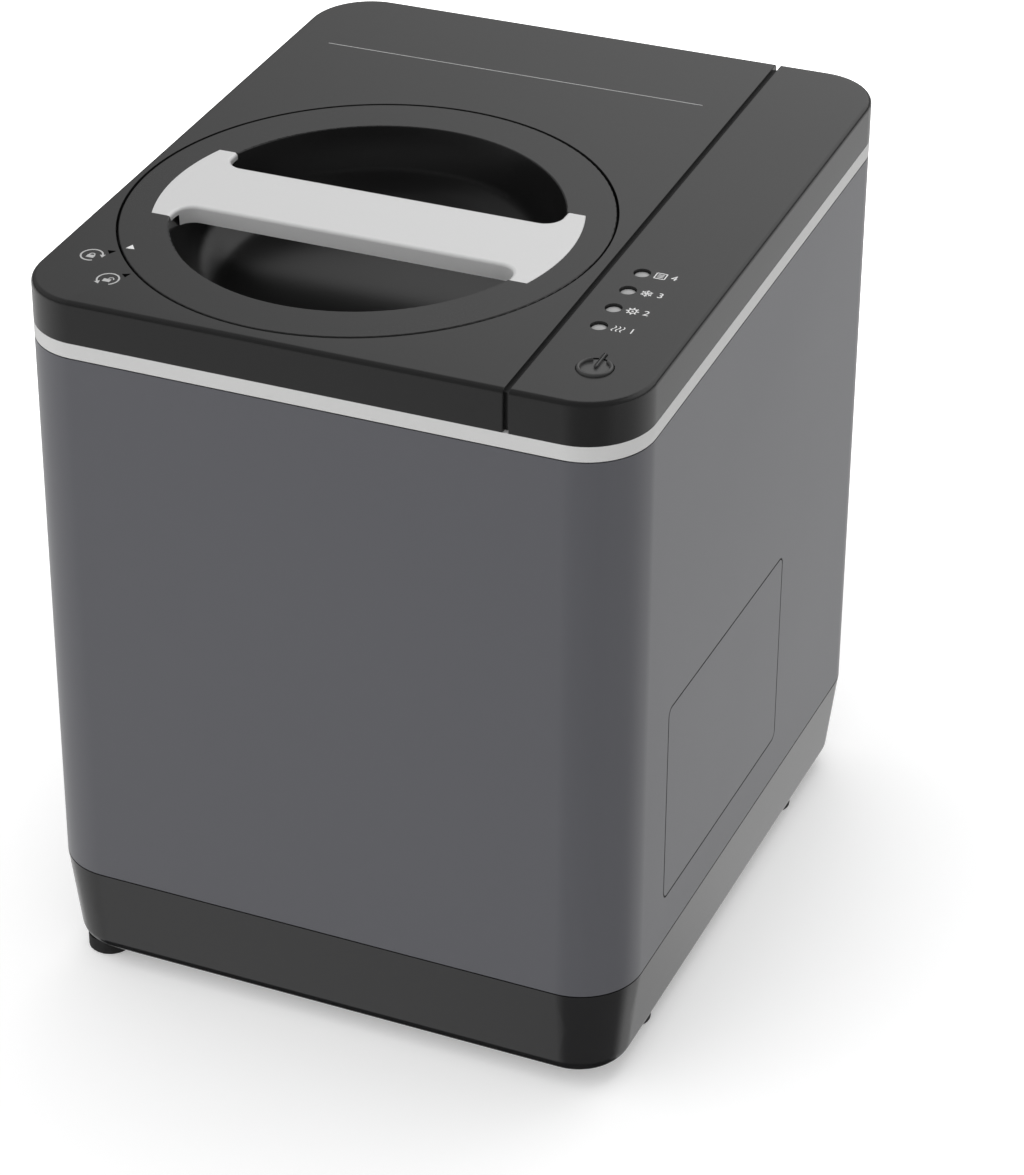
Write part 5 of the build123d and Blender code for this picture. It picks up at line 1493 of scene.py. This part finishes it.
@dataclass
class Studio:
    """Floor, light and camera. None of it is part of the machine."""

    camera_place: Point3 = (0.57940, -1.30823, 0.97991)
    camera_turn: Point3 = (61.2409, -0.2999, 23.2589)
    lens_mm: float = 109.237
    sensor_mm: float = 36.0
    shift: Point2 = (0.0, -0.08)
    clip: tuple[float, float] = (0.01, 50.0)
    floor_half: float = 6.0
    lamp_place: Point3 = (0.1, 0.65, 2.1)
    lamp_aim: Point3 = (0.0, 0.0, 0.15)
    lamp_size: float = 1.8
    lamp_watts: float = 19.0
    # soft light by direction, and what the camera sees of it
    lit_side: Point2 = (-0.35, -0.937)
    lit_spread: Ramp = (-0.2, 0.9)
    soft_light: float = 0.55
    front_light: float = 1.0
    backdrop: float = 1.25
    # the room in gloss: its sides
    dark_side: Point2 = (0.395, -0.919)
    side_spread: Ramp = (-0.2, 0.75)
    side_core: Ramp = (0.7, 0.99)
    back_gloss: float = 0.98
    side_gloss: float = 0.5
    core_share: float = 0.3
    slant: float = 2.2
    slant_least: float = 0.4
    slant_most: float = 1.3
    slant_heights: Ramp = (0.1, 0.4)
    # the room in gloss: its heights
    skyline_low: Ramp = (-0.05, 0.05)
    skyline_high: Ramp = (0.38, 0.24)
    skyline_dark: float = 0.85
    overhead_heights: Ramp = (0.76, 0.95)
    overhead_gloss: float = 0.16
    front_spread: Ramp = (0.1, 0.7)
    front_heights: Ramp = (0.05, 0.35)
    front_dark: float = 0.75
    # the room in gloss: its floor
    low_dark_side: Point2 = (0.766, -0.643)
    low_heights: Ramp = (-0.46, -0.6)
    low_spread: Ramp = (0.12, 0.6)
    low_gloss: float = 0.95
    low_side_gloss: float = 0.2
    deep_heights: Ramp = (-0.61, -0.65)
    deep_spread: Ramp = (0.1, -0.2)
    deep_dark: float = 0.24
    foot_heights: Ramp = (-0.84, -0.79)
    foot_gloss: float = 0.03

    def floor(self) -> bpy.types.Object:
        """Lay the floor.

        Returns:
            The floor.
        """
        form = Form()
        form.box((-self.floor_half, -self.floor_half), (self.floor_half, self.floor_half))
        mesh = form.end("floor")
        mesh.materials.append(FloorFinish("floor_white").material())
        floor = show("floor", mesh)
        floor.visible_glossy = False
        return floor

    def room(self, x: Value, y: Value, z: Value, flat: Value) -> Value:
        """Write the studio seen in gloss.

        The room is light behind the machine and to its right, dim in front, overhead and along a
        band at the skyline. Low down it is light again, apart from a dark side at the front right,
        and it is nearly black right under the machine.

        Args:
            x: The direction's part to the right.
            y: Its part to the back.
            z: Its part upwards.
            flat: Its length seen from above.

        Returns:
            The room's brightness.
        """
        facing = (x * self.dark_side[0] + y * self.dark_side[1]) / flat
        aside = (y * self.dark_side[0] - x * self.dark_side[1]) / flat
        slant = (aside * self.slant + 1.0).maximum(self.slant_least).minimum(self.slant_most)
        room = facing.ramp(*self.side_spread, self.back_gloss, self.side_gloss)
        room = room * facing.ramp(*self.side_core, 1.0, self.core_share)
        room = room * ((slant - 1.0) * z.ramp(*self.slant_heights) + 1.0)
        room = room * (1 - z.ramp(*self.skyline_low) * z.ramp(*self.skyline_high) * self.skyline_dark)
        overhead = z.ramp(*self.overhead_heights)
        room = room * (1 - overhead) + overhead * self.overhead_gloss
        front_up = facing.ramp(*self.front_spread) * z.ramp(*self.front_heights)
        room = room * (1 - front_up * self.front_dark)
        below = z.ramp(*self.low_heights)
        low_facing = (x * self.low_dark_side[0] + y * self.low_dark_side[1]) / flat
        low_room = low_facing.ramp(*self.low_spread, self.low_gloss, self.low_side_gloss)
        room = room * (1 - below) + below * low_room
        deep = z.ramp(*self.deep_heights) * low_facing.ramp(*self.deep_spread)
        room = room * (1 - deep * self.deep_dark)
        return room * z.ramp(*self.foot_heights, self.foot_gloss, 1.0)

    def world(self) -> None:
        """Write the world: white to the camera, plain soft light, and the room in gloss."""
        world = bpy.data.worlds.new("studio")
        bpy.context.scene.world = world
        sheet = NodeSheet(world)
        x, y, z = sheet.parts(sheet.node("ShaderNodeTexCoord").outputs["Generated"])
        flat = (x * x + y * y).root().maximum(0.001)
        rays = sheet.node("ShaderNodeLightPath").outputs
        through = Value(sheet, rays["Is Transmission Ray"])
        seen = Value(sheet, rays["Is Camera Ray"]).maximum(through)
        glossy = Value(sheet, rays["Is Glossy Ray"])
        ahead = (x * self.lit_side[0] + y * self.lit_side[1]) / flat
        soft = ahead.ramp(*self.lit_spread, 0.0, self.front_light) + self.soft_light
        level = self.room(x, y, z, flat) * glossy + (1 - glossy) * soft
        level = level * (1 - seen) + seen * self.backdrop
        back = sheet.node("ShaderNodeBackground", inputs={"Strength": level})
        sheet.node("ShaderNodeOutputWorld", inputs={"Surface": back.outputs[0]})

    def softbox(self) -> bpy.types.Object:
        """Hang a soft square light that shines at the machine.

        Returns:
            The light.
        """
        light = bpy.data.lights.new("overhead", "AREA")
        light.shape = "SQUARE"
        light.size = self.lamp_size
        light.energy = self.lamp_watts
        lamp = show(light.name, light)
        lamp.location = self.lamp_place
        aim = Vector(self.lamp_aim) - Vector(self.lamp_place)
        lamp.rotation_euler = aim.to_track_quat("-Z", "Y").to_euler()
        lamp.visible_glossy = False
        return lamp

    def camera(self) -> bpy.types.Object:
        """Set up the camera.

        Returns:
            The camera.
        """
        data = bpy.data.cameras.new("studio_camera")
        data.sensor_width = self.sensor_mm
        data.lens = self.lens_mm
        data.shift_x, data.shift_y = self.shift
        data.clip_start, data.clip_end = self.clip
        camera = show(data.name, data)
        camera.location = self.camera_place
        camera.rotation_euler = [math.radians(angle) for angle in self.camera_turn]
        bpy.context.scene.camera = camera
        return camera

    def build(self) -> None:
        """Set up the whole studio."""
        bpy.context.scene.view_settings.view_transform = "Standard"
        self.floor()
        self.world()
        self.softbox()
        self.camera()


# ---------------------------------------------------------------- the whole scene


def main() -> None:
    """Build the scene in order."""
    logging.basicConfig(level=logging.INFO, format="%(message)s")
    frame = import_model()
    record = frame["record"]
    slots = {part["node"]: part["material_slot"] for part in record["subparts"]}
    bodies = {node: body for body, nodes in record["behaviour"]["bodies"].items() for node in nodes}
    Studio().build()
    Indicators().build()
    PowerKey().build()
    TopPrints().build()
    Solids(frame["nodes"], slots, bodies, ("indicator_lenses", "power_button")).dress()


if __name__ == "__main__":
    main()
